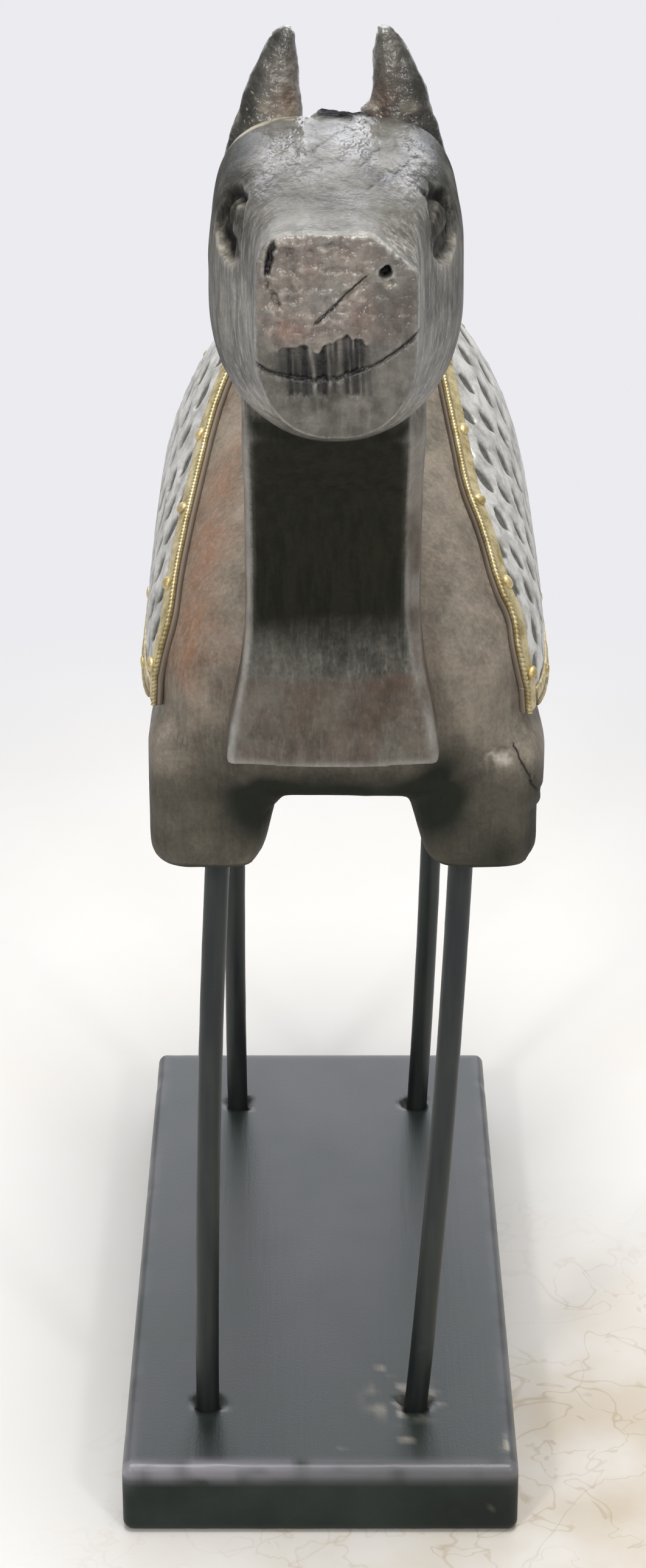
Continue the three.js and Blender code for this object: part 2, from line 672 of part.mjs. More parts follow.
// The embossed skin before it is cut to its outline: rows of pointed leaves pressed in, each row half a spacing
// off the next. Points stand on the row lines at every half spacing, so that a leaf's tips are corners of the
// next row's cells.
function embossedSkin(side) {
  const reach = 0.97 * (TORSO_LENGTH / 2);
  const halves = 2 * Math.round((2 * reach) / LEAF_SPACING);
  const stationAt = (h) => TORSO_SHIFT_Y + lerp(-reach, reach, h / halves);
  const leafReach = ((LEAF_WIDTH / LEAF_SPACING) * (4 * reach)) / halves / 2;
  const depthInside = -3;
  const points = [];
  const faces = [];
  const corner = [];
  const under = [];
  const raise = (y, down, height) => points.push(raisedPoint(side, y, down, height)) - 1;
  for (let h = 0; h <= halves; h++) {
    const y = stationAt(h);
    const downAt = rowLines(side, y);
    for (let line = 0; line <= LEAF_ROWS + 1; line++) {
      const down = line > LEAF_ROWS ? RIDGE_START : downAt(line) + (line ? 0 : HEM_SPARE / CHART_UNIT);
      corner.push(raise(y, down, SHEET_TOP));
      under.push(raise(y, down, depthInside));
    }
  }
  const at = (h, line) => h * (LEAF_ROWS + 2) + line;
  const flat = (h, line) => {
    const [a, b, c, d] = [at(h, line + 1), at(h + 1, line + 1), at(h + 1, line), at(h, line)].map((n) => corner[n]);
    faces.push([a, b, c], [a, c, d]);
  };
  const leaf = (h, line) => {
    const [y, middle] = [stationAt(h), line + 0.5];
    const [a, top, b] = [h - 1, h, h + 1].map((n) => corner[at(n, line + 1)]);
    const [d, bottom, c] = [h - 1, h, h + 1].map((n) => corner[at(n, line)]);
    const left = raise(y - leafReach, rowLines(side, y - leafReach)(middle), SHEET_TOP);
    const right = raise(y + leafReach, rowLines(side, y + leafReach)(middle), SHEET_TOP);
    const pit = raise(y, rowLines(side, y)(middle), SHEET_TOP - EMBOSS_DEPTH);
    faces.push([a, top, left], [a, left, d], [left, bottom, d]);
    faces.push([top, b, right], [b, c, right], [c, bottom, right]);
    faces.push([top, right, pit], [right, bottom, pit], [bottom, left, pit], [left, top, pit]);
  };
  for (let line = 0; line <= LEAF_ROWS; line++) {
    const first = line === LEAF_ROWS ? halves + 1 : 1 + (line % 2);
    for (let h = 0; h < halves; h++) {
      const [a, b, c, d] = [at(h, line + 1), at(h + 1, line + 1), at(h + 1, line), at(h, line)].map((n) => under[n]);
      faces.push([a, c, b], [a, d, c]);
      const plain = line === LEAF_ROWS || (first === 2 && (h === 0 || h === halves - 1));
      if (plain) {
        flat(h, line);
      }
    }
    for (let h = first; h < halves; h += 2) {
      leaf(h, line);
    }
  }
  const wall = (m, n) => {
    faces.push([corner[m], under[m], under[n]], [corner[m], under[n], corner[n]]);
  };
  for (let h = 0; h < halves; h++) {
    wall(at(h, LEAF_ROWS + 1), at(h + 1, LEAF_ROWS + 1));
    wall(at(h + 1, 0), at(h, 0));
  }
  for (let line = 0; line <= LEAF_ROWS; line++) {
    wall(at(halves, line + 1), at(halves, line));
    wall(at(0, line), at(0, line + 1));
  }
  return solidFromFaces(points, faces);
}

// The sheet's outline seen from the side, run through the whole half of the torso.
function sheetOutline(side) {
  const steps = 22;
  const outline = new THREE.Shape();
  const above = WIDEST_Z + BACK_RISE + HUMP_RISE + 20;
  const flat = ({ y, down }) => {
    const point = flankPoint(side, y, down);
    return [point.y, point.z];
  };
  const edges = ENDS.map((end) => edgePath(side, end.sign));
  outline.moveTo(edges[0](0).y, above);
  for (let k = 0; k <= steps; k++) {
    outline.lineTo(...flat(edges[0](k / steps)));
  }
  for (let k = steps; k >= 0; k--) {
    outline.lineTo(...flat(edges[1](k / steps)));
  }
  outline.lineTo(edges[1](0).y, above);
  const geometry = new THREE.ExtrudeGeometry(outline, { depth: TORSO_WIDTH, bevelEnabled: false });
  // The outline's two axes become Y and Z, and its depth runs outward from the ridge.
  const outward = side > 0 ? 0 : -TORSO_WIDTH;
  const frame = new THREE.Matrix4().makeBasis(vector(0, 1, 0), vector(0, 0, 1), vector(1, 0, 0));
  geometry.applyMatrix4(frame);
  geometry.translate(TORSO_SHIFT_X + outward, 0, 0);
  return solidFromGeometry(geometry);
}

function flankSheet(side) {
  const skin = embossedSkin(side).intersect(sheetOutline(side));
  return largestPiece(skin.subtract(torsoBarrel(FIT_GAP)));
}

// Strips and tacks

// Distances along a path on the flank, at fine equal steps of its parameter.
function pathLengths(side, path) {
  const fine = 200;
  const lengths = [0];
  let last = null;
  for (let k = 0; k <= fine; k++) {
    const { y, down } = path(k / fine);
    const point = flankPoint(side, y, down);
    if (last) {
      lengths.push(lengths[k - 1] + point.distanceTo(last));
    }
    last = point;
  }
  return lengths;
}

// Places along a path at equal distances on the flank.
function evenPlaces(side, path, count, margin) {
  const lengths = pathLengths(side, path);
  const fine = lengths.length - 1;
  const total = lengths[fine];
  return Array.from({ length: count }, (_, i) => {
    const target = lerp(margin, total - margin, count > 1 ? i / (count - 1) : 0.5);
    const k = Math.max(1, lengths.findIndex((length) => length >= target - 1e-9));
    return (k - 1 + (target - lengths[k - 1]) / (lengths[k] - lengths[k - 1])) / fine;
  });
}

// A place a distance into the sheet, square to the path.
function stepInward(side, path, t, across) {
  const { y, down } = path(t);
  const ahead = path(Math.min(1, t + 0.01));
  const behind = path(Math.max(0, t - 0.01));
  const way = flankPoint(side, ahead.y, ahead.down).sub(flankPoint(side, behind.y, behind.down));
  const { along, downward, normal } = flankFrame(side, y, down);
  const inward = way.cross(normal).normalize();
  const toMiddle = flankPoint(side, TORSO_SHIFT_Y, 0.7).sub(flankPoint(side, y, down));
  inward.multiplyScalar(Math.sign(inward.dot(toMiddle)) * across);
  const [aa, ab, bb] = [along.dot(along), along.dot(downward), downward.dot(downward)];
  const [va, vb] = [along.dot(inward), downward.dot(inward)];
  const scale = aa * bb - ab * ab;
  return {
    y: y + (va * bb - vb * ab) / scale,
    down: Math.max(RIDGE_START, down + (aa * vb - ab * va) / scale),
  };
}

// A strip's sections, with every tack half way between two of them.
function stripPlaces(side, path, tackCount, margin, sectionsPerTack) {
  const steps = (tackCount - 1) * sectionsPerTack;
  const step = (pathLengths(side, path).at(-1) - 2 * margin) / steps;
  return [0, ...evenPlaces(side, path, steps + 2, margin - step / 2), 1];
}

// A flat strip with a raised bead along its outer edge.
function strip(side, path, places) {
  const bead = STRIP_THICKNESS + BEAD_RISE;
  const profile = [
    [0, 0], [0, bead], [BEAD_WIDTH, bead], [BEAD_WIDTH + 0.3, STRIP_THICKNESS],
    [STRIP_WIDTH, STRIP_THICKNESS], [STRIP_WIDTH, 0],
  ];
  return loft(places.map((t) => profile.map(([across, height]) => {
    const place = stepInward(side, path, t, across);
    return raisedPoint(side, place.y, place.down, STRIP_BASE + height);
  })));
}

function ridgeEnds() {
  const inset = STRIP_WIDTH + 2 * TRIM_GAP;
  return [edgePath(1, -1)(0).y + inset, edgePath(1, 1)(0).y - inset];
}

function ridgeTop(y, x) {
  const { half, rise } = torsoSection(y);
  return WIDEST_Z + rise * bulge(x / half, DORSAL_POWER);
}

function ridgeStrip() {
  const [start, end] = ridgeEnds();
  const half = STRIP_WIDTH / 2;
  const profile = [
    [-half, 0], [-half, STRIP_THICKNESS], [half, STRIP_THICKNESS], [half, 0], [0, 0],
  ];
  const sections = 6;
  return loft(Array.from({ length: sections }, (_, i) => {
    const y = lerp(start, end, i / (sections - 1));
    return profile.map(([x, height]) => vector(
      TORSO_SHIFT_X + x,
      y,
      ridgeTop(y, x) + STRIP_BASE + TRIM_GAP + height,
    ));
  }));
}

// Every tack's node name, the strip that it holds, its seat on that strip and its outward way.
function tackPlaces() {
  const tacks = [];
  const addRow = (stripName, side, path, count, margin) => {
    evenPlaces(side, path, count, margin).forEach((t, i) => {
      const { y, down } = stepInward(side, path, t, TACK_ACROSS);
      const { normal } = flankFrame(side, y, down);
      const seat = raisedPoint(side, y, down, STRIP_BASE + STRIP_THICKNESS + TRIM_GAP);
      tacks.push({ name: `tack_${stripName}_${i + 1}`, strip: stripName, seat, normal });
    });
  };
  for (const side of SIDES) {
    for (const end of ENDS) {
      addRow(`${end.name}_${side.name}`, side.sign, edgePath(side.sign, end.sign), TACKS_ON_EDGE, EDGE_MARGIN);
    }
    addRow(`lower_${side.name}`, side.sign, hemPath(side.sign), TACKS_ON_HEM, HEM_MARGIN);
  }
  const [start, end] = ridgeEnds();
  for (let i = 0; i < TACKS_ON_RIDGE; i++) {
    const y = lerp(start, end, (i + 0.5) / TACKS_ON_RIDGE);
    const height = STRIP_BASE + STRIP_THICKNESS + 2 * TRIM_GAP;
    const seat = vector(TORSO_SHIFT_X, y, ridgeTop(y, 0) + height);
    const slope = (ridgeTop(y + 0.1, 0) - ridgeTop(y - 0.1, 0)) / 0.2;
    tacks.push({ name: `tack_ridge_${i + 1}`, strip: "ridge", seat, normal: vector(0, -slope, 1).normalize() });
  }
  return tacks;
}

// A square shank under the head, or with a gap the hole that it stands in.
function tackShank(gap = 0) {
  const radius = TACK_SHANK / Math.SQRT2 + gap * Math.SQRT2;
  const geometry = new THREE.CylinderGeometry(radius, radius, TACK_LENGTH + gap + 0.5, 4);
  geometry.rotateX(Math.PI / 2);
  geometry.translate(0, 0, (0.5 - TACK_LENGTH - gap) / 2);
  return solidFromGeometry(geometry);
}

function tack() {
  const radius = TACK_HEAD_DIAMETER / 2;
  const profile = [0, 0.6, 1].map((share) => new THREE.Vector2(
    radius * share,
    TACK_HEAD_HEIGHT * Math.sqrt(1 - share * share),
  ));
  profile.push(new THREE.Vector2(0, 0));
  const dome = new THREE.LatheGeometry(profile, 6);
  dome.rotateX(Math.PI / 2);
  return solidFromGeometry(dome).add(tackShank());
}

function tackTurn(place) {
  return new THREE.Quaternion().setFromUnitVectors(vector(0, 0, 1), place.normal);
}

function tackHoles(places) {
  const hole = tackShank(SHANK_GAP);
  return Manifold.union(places.map((place) => {
    const matrix = new THREE.Matrix4().compose(place.seat, tackTurn(place), vector(1, 1, 1));
    return hole.transform(matrix.toArray());
  }));
}

// Assembly

const camel = new THREE.Group();

function addMesh(name, geometry, look) {
  const mesh = new THREE.Mesh(geometry, new THREE.MeshStandardMaterial(look));
  mesh.name = name;
  camel.add(mesh);
  return mesh;
}

function addSolid(name, solid, look) {
  return addMesh(name, geometryFromSolid(solid), look);
}

addSolid("base_board", baseBoard(), MATERIALS.paintedBoard);
for (const leg of legPlaces()) {
  addSolid(leg.name, rod(leg), MATERIALS.iron);
}

const tacks = tackPlaces();
const allHoles = tackHoles(tacks);
addSolid("torso", torso().subtract(allHoles), MATERIALS.torsoWood);
addSolid("neck_and_head", neckAndHead(), MATERIALS.headWood);
["lower", "upper"].forEach((name, i) => {
  addSolid(`neck_dowel_${name}`, dowel(DOWEL_HEIGHTS[i]), MATERIALS.dowelWood);
});

for (const side of SIDES) {
  addSolid(`ear_${side.name}`, ear(side.sign), MATERIALS.headWood);
  addSolid(`flank_sheet_${side.name}`, flankSheet(side.sign).subtract(allHoles), MATERIALS.whiteMetal);
  for (const end of ENDS) {
    const edge = edgePath(side.sign, end.sign);
    const body = strip(side.sign, edge, stripPlaces(side.sign, edge, TACKS_ON_EDGE, EDGE_MARGIN, 5));
    addSolid(`${end.name}_strip_${side.name}`, body.subtract(allHoles), MATERIALS.brass);
  }
  const hem = hemPath(side.sign);
  const hemBody = strip(side.sign, hem, stripPlaces(side.sign, hem, TACKS_ON_HEM, HEM_MARGIN, 3));
  addSolid(`lower_strip_${side.name}`, hemBody.subtract(allHoles), MATERIALS.brass);
}
addSolid("ridge_strip", ridgeStrip().subtract(allHoles), MATERIALS.brass);

const tackGeometry = geometryFromSolid(tack());
for (const place of tacks) {
  const mesh = addMesh(place.name, tackGeometry, MATERIALS.brass);
  mesh.position.copy(place.seat);
  mesh.quaternion.copy(tackTurn(place));
}

export default camel;
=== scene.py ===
"""Looks of a carved wooden camel on iron rods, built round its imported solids.

Lengths in the formulas are millimetres in the part's own frame: +Z is up, the camel faces -Y and its own left
side is +X. A mesh is written in metres.
"""

import math
from functools import partial

import bpy
import numpy as np
from bpy.props import FloatProperty, FloatVectorProperty, PointerProperty
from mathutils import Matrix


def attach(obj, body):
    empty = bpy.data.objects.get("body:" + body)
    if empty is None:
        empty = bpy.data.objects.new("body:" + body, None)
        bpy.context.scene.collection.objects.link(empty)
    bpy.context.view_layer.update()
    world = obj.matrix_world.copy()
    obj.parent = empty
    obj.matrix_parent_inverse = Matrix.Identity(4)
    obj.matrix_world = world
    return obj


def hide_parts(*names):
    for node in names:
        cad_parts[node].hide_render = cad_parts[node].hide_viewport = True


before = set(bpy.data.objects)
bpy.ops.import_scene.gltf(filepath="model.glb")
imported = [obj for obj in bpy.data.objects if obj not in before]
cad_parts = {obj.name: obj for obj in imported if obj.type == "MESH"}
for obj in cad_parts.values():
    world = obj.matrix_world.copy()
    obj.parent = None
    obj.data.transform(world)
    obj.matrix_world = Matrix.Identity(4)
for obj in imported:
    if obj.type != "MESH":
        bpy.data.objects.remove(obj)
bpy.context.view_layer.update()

bl_info = {
    "name": "Carved camel on rods",
    "version": (1, 0, 0),
    "blender": (4, 5, 0),
    "location": "View3D > Sidebar > Camel",
    "description": "Carved wooden camel with embossed metal flanks, on iron rods over a painted board",
    "category": "Add Mesh",
}

MM = 0.001
SIDES = {"left": 1, "right": -1}
ENDS = {"front": -1, "rear": 1}

# Board and rods
BOARD_SIZE = np.array([101.0, 217.0, 20.0])
BOARD_FACET = 1.4
ROD_IN_BOARD = 14.0
ROD_IN_THIGH = 26.0
FEET_TRACK = 53.5
FEET_SHIFT = {"front": -2.2, "rear": 2.0}
TOPS_SHIFT = {"front": -1.2, "rear": -1.0}
ROD_INSET = {"front": 2.4, "rear": 3.6}
ROD_BOW = 1.6
DUST_SHIFT = np.array([2.5, -2.0])
# Scuffs as x, y and reach, a nick of the edge as x and y, and one of the front face as x and z
BOARD_SCUFFS = ((15.9, -64.2, 2.2), (22.1, -96.4, 3.0), (5.5, -100.9, 1.3), (-30, -77, 2.0))
EDGE_NICK, FACE_NICK = (47.5, -98.5), (43.7, 7.1)

# Torso
TORSO_X, TORSO_Y = 6.0, -2.3
TORSO_LENGTH, TORSO_WIDTH = 200.0, 93.0
BELLY_DEPTH, BACK_RISE = 32.0, 50.5
HUMP_RISE, HUMP_SPREAD = 23.0, 46.0
PLAN_POWER, BACK_POWER, DORSAL_POWER, BELLY_POWER = 6.0, 2.8, 1.9, 6.0
THIGH_Z, WIDEST_Z = 182.0, 228.0
THIGH_HALF_WIDTH, THIGH_HALF_LENGTH = 15.5, 18.0
THIGH_ACROSS, THIGH_ALONG = 31.0, 78.2
THIGH_ROUND, THIGH_SQUARE = 5.0, 0.45
TAIL_RADIUS, TAIL_DROP = 4.2, 58.0
# How far a thigh is drawn in at heights over its foot
THIGH_TUCK = ((32.0, 37.8, 46.0, 50.0), (0.0, 3.4, 6.8, 8.0))
# Marks of the left shoulder as x and z, and the flake's edge as heights and x
SHOULDER_CHIP, SHOULDER_NAIL = np.array([41.9, 212.3]), (42.8, 213.2)
SHOULDER_SPLIT = ((45.2, 214.8), (49.0, 206.5), (53.4, 198.6))
FLAKE_EDGE = ((198.0, 206.5, 214.8), (53.0, 49.0, 45.2))

# Neck, head and ears
SEAT_Y = -86.3
NECK_X, NECK_Z, NECK_HEIGHT = 3.0, 220.0, 81.0
NECK_CHAMFER, NECK_IN_HEAD = 2.4, 22.0
NECK_HALF, NECK_FLARE, FLARE_SPREAD = 19.75, 4.25, 17.0
RIGHT_BEVEL, LEFT_BEVEL_FOOT, LEFT_BEVEL = 1.3, 1.5, 3.4
# The neck's depth at shares of its height
NECK_DEPTHS = np.array([[0, 33.0], [0.18, 26.7], [0.4, 24.0], [0.68, 28.2], [1, 45.0]])
HEAD_X, HEAD_LENGTH, POLL_Y = 3.4, 96.0, -90.8
JAW_Z, CROWN_Z, CHIN_Z = 301.0, 366.0, 319.2
HEAD_HALF, MUZZLE_HALF, MUZZLE_FALL = 26.25, 16.0, 5.8
MUZZLE_Y = POLL_Y - HEAD_LENGTH
MUZZLE_ROUND, MUZZLE_MIDDLE_Z = 1.3, 340.0
MOUTH_Z, LEFT_LIP_BEND, RIGHT_LIP_BEND = 331.0, 0.0235, 0.0285
EYE_Y, EYE_Z = -154.5, 353.4
EYE_HALF_LENGTH, EYE_HALF_HEIGHT = 8.4, 7.8
# Marks of the nose plane as x and z, its stains as strength, x, z and reach, and the crown's cracks as x, y
NOSTRIL, NOSTRIL_DISH = (12.7, 352.6), (13.1, 350.5)
NOSTRIL_SLIT = ((-9.1, 358.6), (-10.2, 352.4))
NOSTRIL_TEAR = ((-10.0, 351.5), (-7.8, 346.6))
NOSE_SCRATCH = ((-0.6, 342.9), (9.0, 351.9))
NOSE_STAINS = (
    (0.7, -5.3, 341.1, 3.2), (0.35, 7.6, 344.7, 3.0), (0.3, -1.7, 352.5, 2.5), (0.4, 16.5, 346.0, 2.6),
)
LIP_CHIP_TOP = ((-8.2, -5.3, -2.4, -0.4, 2.3, 4.3, 8.8), (337.2, 338.5, 337.8, 337.2, 339.3, 340.5, 339.0))
CROWN_CRACKS = (
    ((-6.9, -151), (-3.9, -140)), ((-2.2, -143), (5.4, -126)), ((7.8, -151), (12.0, -140)),
    ((13.4, -159), (19.6, -141)), ((7.2, -168), (12.4, -156)),
)
# A distance that counts as far from every crack
NO_CUT = 9.0
PATCH_PLACE = (4.1, -111.0)
TIDE_Z = 238.5
EAR_Y, EAR_TIP_Z = POLL_Y - 11.0, 380.8
EAR_TIP_HALF = {"left": 1.9, "right": 1.25}
# The ears' inner and outer edges at their levels, as distances from the head's middle
EAR_LEVELS = np.array([346.0, 354.0, 360.6, 364.0, 368.5, 372.5, 377.0, 380.4, 381.9])
EAR_INNER = np.array([6.8, 6.8, 7.0, 7.2, 7.5, 7.7, 8.0, 8.4, 9.3])
EAR_OUTER = np.array([25.2, 24.0, 22.1, 21.0, 19.6, 17.8, 15.4, 13.2, 11.4])

# Cladding, with the front edge as shares of half the torso's length and of the way from ridge to hem
CHART_UNIT = 95.0
RIDGE, HEM = 0.004, 1 + 6.5 / CHART_UNIT
EDGE_SKEW = 19.5
EDGE_SHARES = np.array([
    [0.1, 0], [0.13, 0.15], [0.192, 0.27], [0.33, 0.337], [0.432, 0.375], [0.534, 0.435],
    [0.697, 0.515], [0.802, 0.59], [0.88, 0.7], [0.9, 0.85], [0.885, 1],
])
SHEET_LIFT, BAND_HEIGHT, CRUMPLE_HEIGHT = 1.6, 0.14, 0.13
LEAF_ROWS = 11
STRIP_WIDTH, STRIP_LIFT, STRIP_STEP, BEAD_RADIUS = 4.6, 1.8, 0.25, 0.55
# Stands for the bead's angle where a strip has no bead
OFF_BEAD = 9.0
TACK_ACROSS, TACK_DOME, HEM_TACK_DOME = 3.0, 1.15, 0.6
SHANK_RADIUS, SHANK_LENGTH = 0.5, 2.2
EDGE_TACKS, HEM_TACKS, RIDGE_TACKS = 6, 4, 2
EDGE_MARGIN, HEM_MARGIN = 9.0, 14.0

# Wood's finish: how far its patterns are drawn out on each axis, its marks and its colours
GRAIN_DRAWN, DENTS_DRAWN = (1.0, 1.0, 0.17), (1.0, 0.35, 1.0)
WOOD_MARKS = (
    "wear", "grime", "red", "stain_and_shade", "chalk", "pitch", "polish", "dents", "grain", "cut_across", "cut_near",
)
# The stain tones paint shade as well as stain: under the body, across the belly, down the neck and on the
# head's sides.
BODY_TONES = {"dark": "#716a5f", "red": "#987058", "stain_and_shade": "#24271f", "rubbed": "#a39b8c", "dirt": "#2a2622",
              "bare": "#b9b0a2", "pitch": "#1a1817"}
HEAD_TONES = {"dark": "#5c5750", "red": "#8a6654", "stain_and_shade": "#28281f", "rubbed": "#bcbab3", "dirt": "#242220",
              "bare": "#bbb09b", "pitch": "#070707"}

# Stage, with the floor in millimetres and the rest in metres
BACKDROP = "#ebebf0"
FLOOR_X, FLOOR_Y, FLOOR_Z = (-2500, 2500), (-1500, 3500), -0.2
DIRT_PLACE, DIRT_FROM, DIRT_TO = (0.09, -0.1, 0.0), 0.03, 0.17
FADE_CENTRE, FADE_FROM, FADE_TO = (0.0, 0.1, 0.0), 0.2, 0.5
CAMERA_PLACE, CAMERA_DEGREES = (0.0007, -0.8095, 0.5275), 65.64
SENSOR_MM, FOCAL_PIXELS, PHOTO_PIXELS = 36.0, 5500, 2576


def clamp(value):
    """The value held between 0 and 1."""
    return np.clip(value, 0, 1)


def smooth(value, low, high):
    """Hermite step: 0 up to low, 1 from high, and 3t^2 - 2t^3 between them."""
    t = clamp((value - low) / (high - low))
    return t * t * (3 - 2 * t)


def lerp(start, end, share):
    """A straight mix of start and end."""
    return start + (end - start) * share


def bulge(place, power):
    """Superellipse height (1 - |place|^power)^(1/power) over a place from -1 to 1."""
    return np.maximum(0, 1 - np.abs(place) ** power) ** (1 / power)


def signed_power(value, power):
    """|value|^power with the sign of value."""
    return np.sign(value) * np.abs(value) ** power


def hill(value, middle, spread):
    """Gaussian exp(-((value - middle) / spread)^2)."""
    return np.exp(-(((value - middle) / spread) ** 2))


def full_turn(count):
    """A row of angles round a whole turn, with the closing one left out."""
    return np.linspace(0, 2 * math.pi, count, endpoint=False)[None, :]


def unit(vectors):
    """Vectors divided by their lengths."""
    return vectors / np.linalg.norm(vectors, axis=-1, keepdims=True)


def lattice(cells, seed):
    """A repeatable value from 0 to 1 for each row of whole numbers, mixed by integer multiplication."""
    mixed = np.full(cells.shape[:-1], seed * 7919 + 17, dtype=np.uint64)
    for axis, prime in enumerate((73856093, 19349663, 83492791)):
        if axis < cells.shape[-1]:
            mixed = mixed ^ (cells[..., axis].astype(np.int64).astype(np.uint64) * np.uint64(prime))
            mixed = (mixed * np.uint64(2654435761)) & np.uint64(0xFFFFFFFF)
    mixed = (mixed ^ (mixed >> np.uint64(15))) * np.uint64(2246822519) & np.uint64(0xFFFFFFFF)
    return ((mixed ^ (mixed >> np.uint64(13))) & np.uint64(0xFFFFFF)).astype(float) / 0xFFFFFF


def noise(points, size, seed):
    """Value noise from -1 to 1: lattice values a size apart, blended by smoothstep weights on every axis."""
    place = np.asarray(points, float) / size
    cell = np.floor(place)
    share = place - cell
    weight = share * share * (3 - 2 * share)
    total = 0
    axes = place.shape[-1]
    for corner in np.ndindex(*(2,) * axes):
        corner = np.array(corner)
        mix = np.prod(np.where(corner == 1, weight, 1 - weight), axis=-1)
        total = total + mix * lattice(cell + corner, seed)
    return 2 * total - 1


def layered(points, size, octaves, seed):
    """Sum of noise layers, each of half the size and half the height of the one before."""
    layers = [noise(points, size / 2**k, seed + k) / 2**k for k in range(octaves)]
    return sum(layers) / (2 - 2.0 ** (1 - octaves))


def from_segment(points, start, end):
    """Distance of points from a straight segment in the plane."""
    start, end = np.array(start), np.array(end)
    way = end - start
    share = np.clip(((points - start) @ way) / (way @ way), 0, 1)
    return np.linalg.norm(points - start - share[:, None] * way, axis=1)


def across_segment(points, start, end):
    """Distance of points from a straight segment in the plane, negative on its right-hand side."""
    way, away = np.array(end) - np.array(start), points - np.array(start)
    turn = way[0] * away[:, 1] - way[1] * away[:, 0]
    return np.where(turn < 0, -1, 1) * from_segment(points, start, end)


def nearest(cuts):
    """Of several signed distances, at each point the one nearest to 0, and how near it is, from 0 to 1."""
    table = np.stack(cuts)
    across = np.take_along_axis(table, np.abs(table).argmin(0)[None], 0)[0]
    return across, 1 - smooth(np.abs(across), 0.9, 1.4)


def table_value(table, row, column):
    """Bilinear value of a table at fractional rows and columns."""
    row = np.clip(row, 0, table.shape[0] - 1.001)
    column = np.clip(column, 0, table.shape[1] - 1.001)
    i, j = row.astype(int), column.astype(int)
    u, v = row - i, column - j
    return lerp(lerp(table[i, j], table[i + 1, j], u), lerp(table[i, j + 1], table[i + 1, j + 1], u), v)


# Meshes


def grid_quads(rows, columns, wrap=False):
    """Quads of a grid of rows by columns, numbered row by row, with its columns joined up if wrap is set."""
    across = columns if wrap else columns - 1
    i, j = np.meshgrid(np.arange(rows - 1), np.arange(across), indexing="ij")
    k = (j + 1) % columns
    corners = [i * columns + j, i * columns + k, (i + 1) * columns + k, (i + 1) * columns + j]
    return np.stack(corners, -1).reshape(-1, 4)


def loft(rings):
    """Closed shell through rings of equal count: quads between rings and a fan of thin quads at each end."""
    rows, columns, _ = rings.shape
    ends = np.stack([rings[0].mean(0), rings[-1].mean(0)])
    points = np.concatenate([rings.reshape(-1, 3), ends])
    around = np.arange(columns)
    beyond = (around + 1) % columns
    hub = rows * columns
    last = (rows - 1) * columns
    first_fan = np.stack([beyond, around, np.full(columns, hub)], 1)
    last_fan = np.stack([last + around, last + beyond, np.full(columns, hub + 1)], 1)
    return points, [grid_quads(rows, columns, wrap=True), first_fan, last_fan]


def slab(top, bottom):
    """Closed shell between two grids of the same rows and columns, with a rim of quads round their edges."""
    rows, columns, _ = top.shape
    points = np.concatenate([top.reshape(-1, 3), bottom.reshape(-1, 3)])
    upper = grid_quads(rows, columns)
    number = np.arange(rows * columns).reshape(rows, columns)
    loop = np.concatenate([number[0, :-1], number[:-1, -1], number[-1, :0:-1], number[:0:-1, 0]])
    onward = np.roll(loop, -1)
    rim = np.stack([loop, loop + rows * columns, onward + rows * columns, onward], 1)
    return points, [upper, upper[:, ::-1] + rows * columns, rim]


def joined(shells):
    """Several shells as one set of points and faces."""
    points = []
    faces = []
    start = 0
    for shell_points, shell_faces in shells:
        points.append(shell_points)
        faces.extend(face + start for face in shell_faces)
        start += len(shell_points)
    return np.concatenate(points), faces


def triangles(faces):
    """All faces as triangles, each quad cut along its first diagonal."""
    thirds = [face[:, [0, k, k + 1]] for face in faces for k in range(1, face.shape[1] - 1)]
    return np.concatenate(thirds)


def outward(points, faces):
    """Faces turned over if the shell's signed volume, a sixth of the sum of a.(b x c), is negative."""
    a, b, c = (points[triangles(faces)[:, k]] for k in range(3))
    volume = np.einsum("ij,ij->", a, np.cross(b, c))
    return faces if volume > 0 else [face[:, ::-1] for face in faces]


def point_normals(points, faces):
    """Unit normals at the points: the sum of the neighbouring triangles' area normals."""
    corner = triangles(faces)
    a, b, c = (points[corner[:, k]] for k in range(3))
    normal = np.cross(b - a, c - a)
    total = np.zeros_like(points)
    for k in range(3):
        for axis in range(3):
            total[:, axis] += np.bincount(corner[:, k], normal[:, axis], len(points))
    return total / np.maximum(np.linalg.norm(total, axis=1, keepdims=True), 1e-12)


def face_edges(faces):
    """Every face's edges as pairs of point numbers."""
    pairs = [np.stack([face, np.roll(face, -1, axis=1)], -1).reshape(-1, 2) for face in faces]
    return np.concatenate(pairs)


def neighbour_mean(values, edges):
    """Mean of each point's neighbours' values."""
    one, two = edges.T
    count = len(values)
    share = np.bincount(one, minlength=count) + np.bincount(two, minlength=count)
    columns = values.reshape(count, -1).T
    sums = [np.bincount(one, v[two], count) + np.bincount(two, v[one], count) for v in columns]
    return (np.stack(sums, -1) / np.maximum(share, 1)[:, None]).reshape(values.shape)


def relaxed(values, edges, rounds):
    """Values after rounds in which each moves half the way to its neighbours' mean."""
    for _ in range(rounds):
        values = values + 0.5 * (neighbour_mean(values, edges) - values)
    return values


def edge_sharpness(points, faces, edges, rounds):
    """How far each point stands out of its neighbours' mean along its normal, spread over some rounds."""
    stand = point_normals(points, faces)
    away = points - relaxed(points, edges, 6)
    return relaxed(np.einsum("ij,ij->i", away, stand), edges, rounds)


def new_object(name, data):
    """An object with this data, linked to the scene."""
    obj = bpy.data.objects.new(name, data)
    bpy.context.scene.collection.objects.link(obj)
    return obj


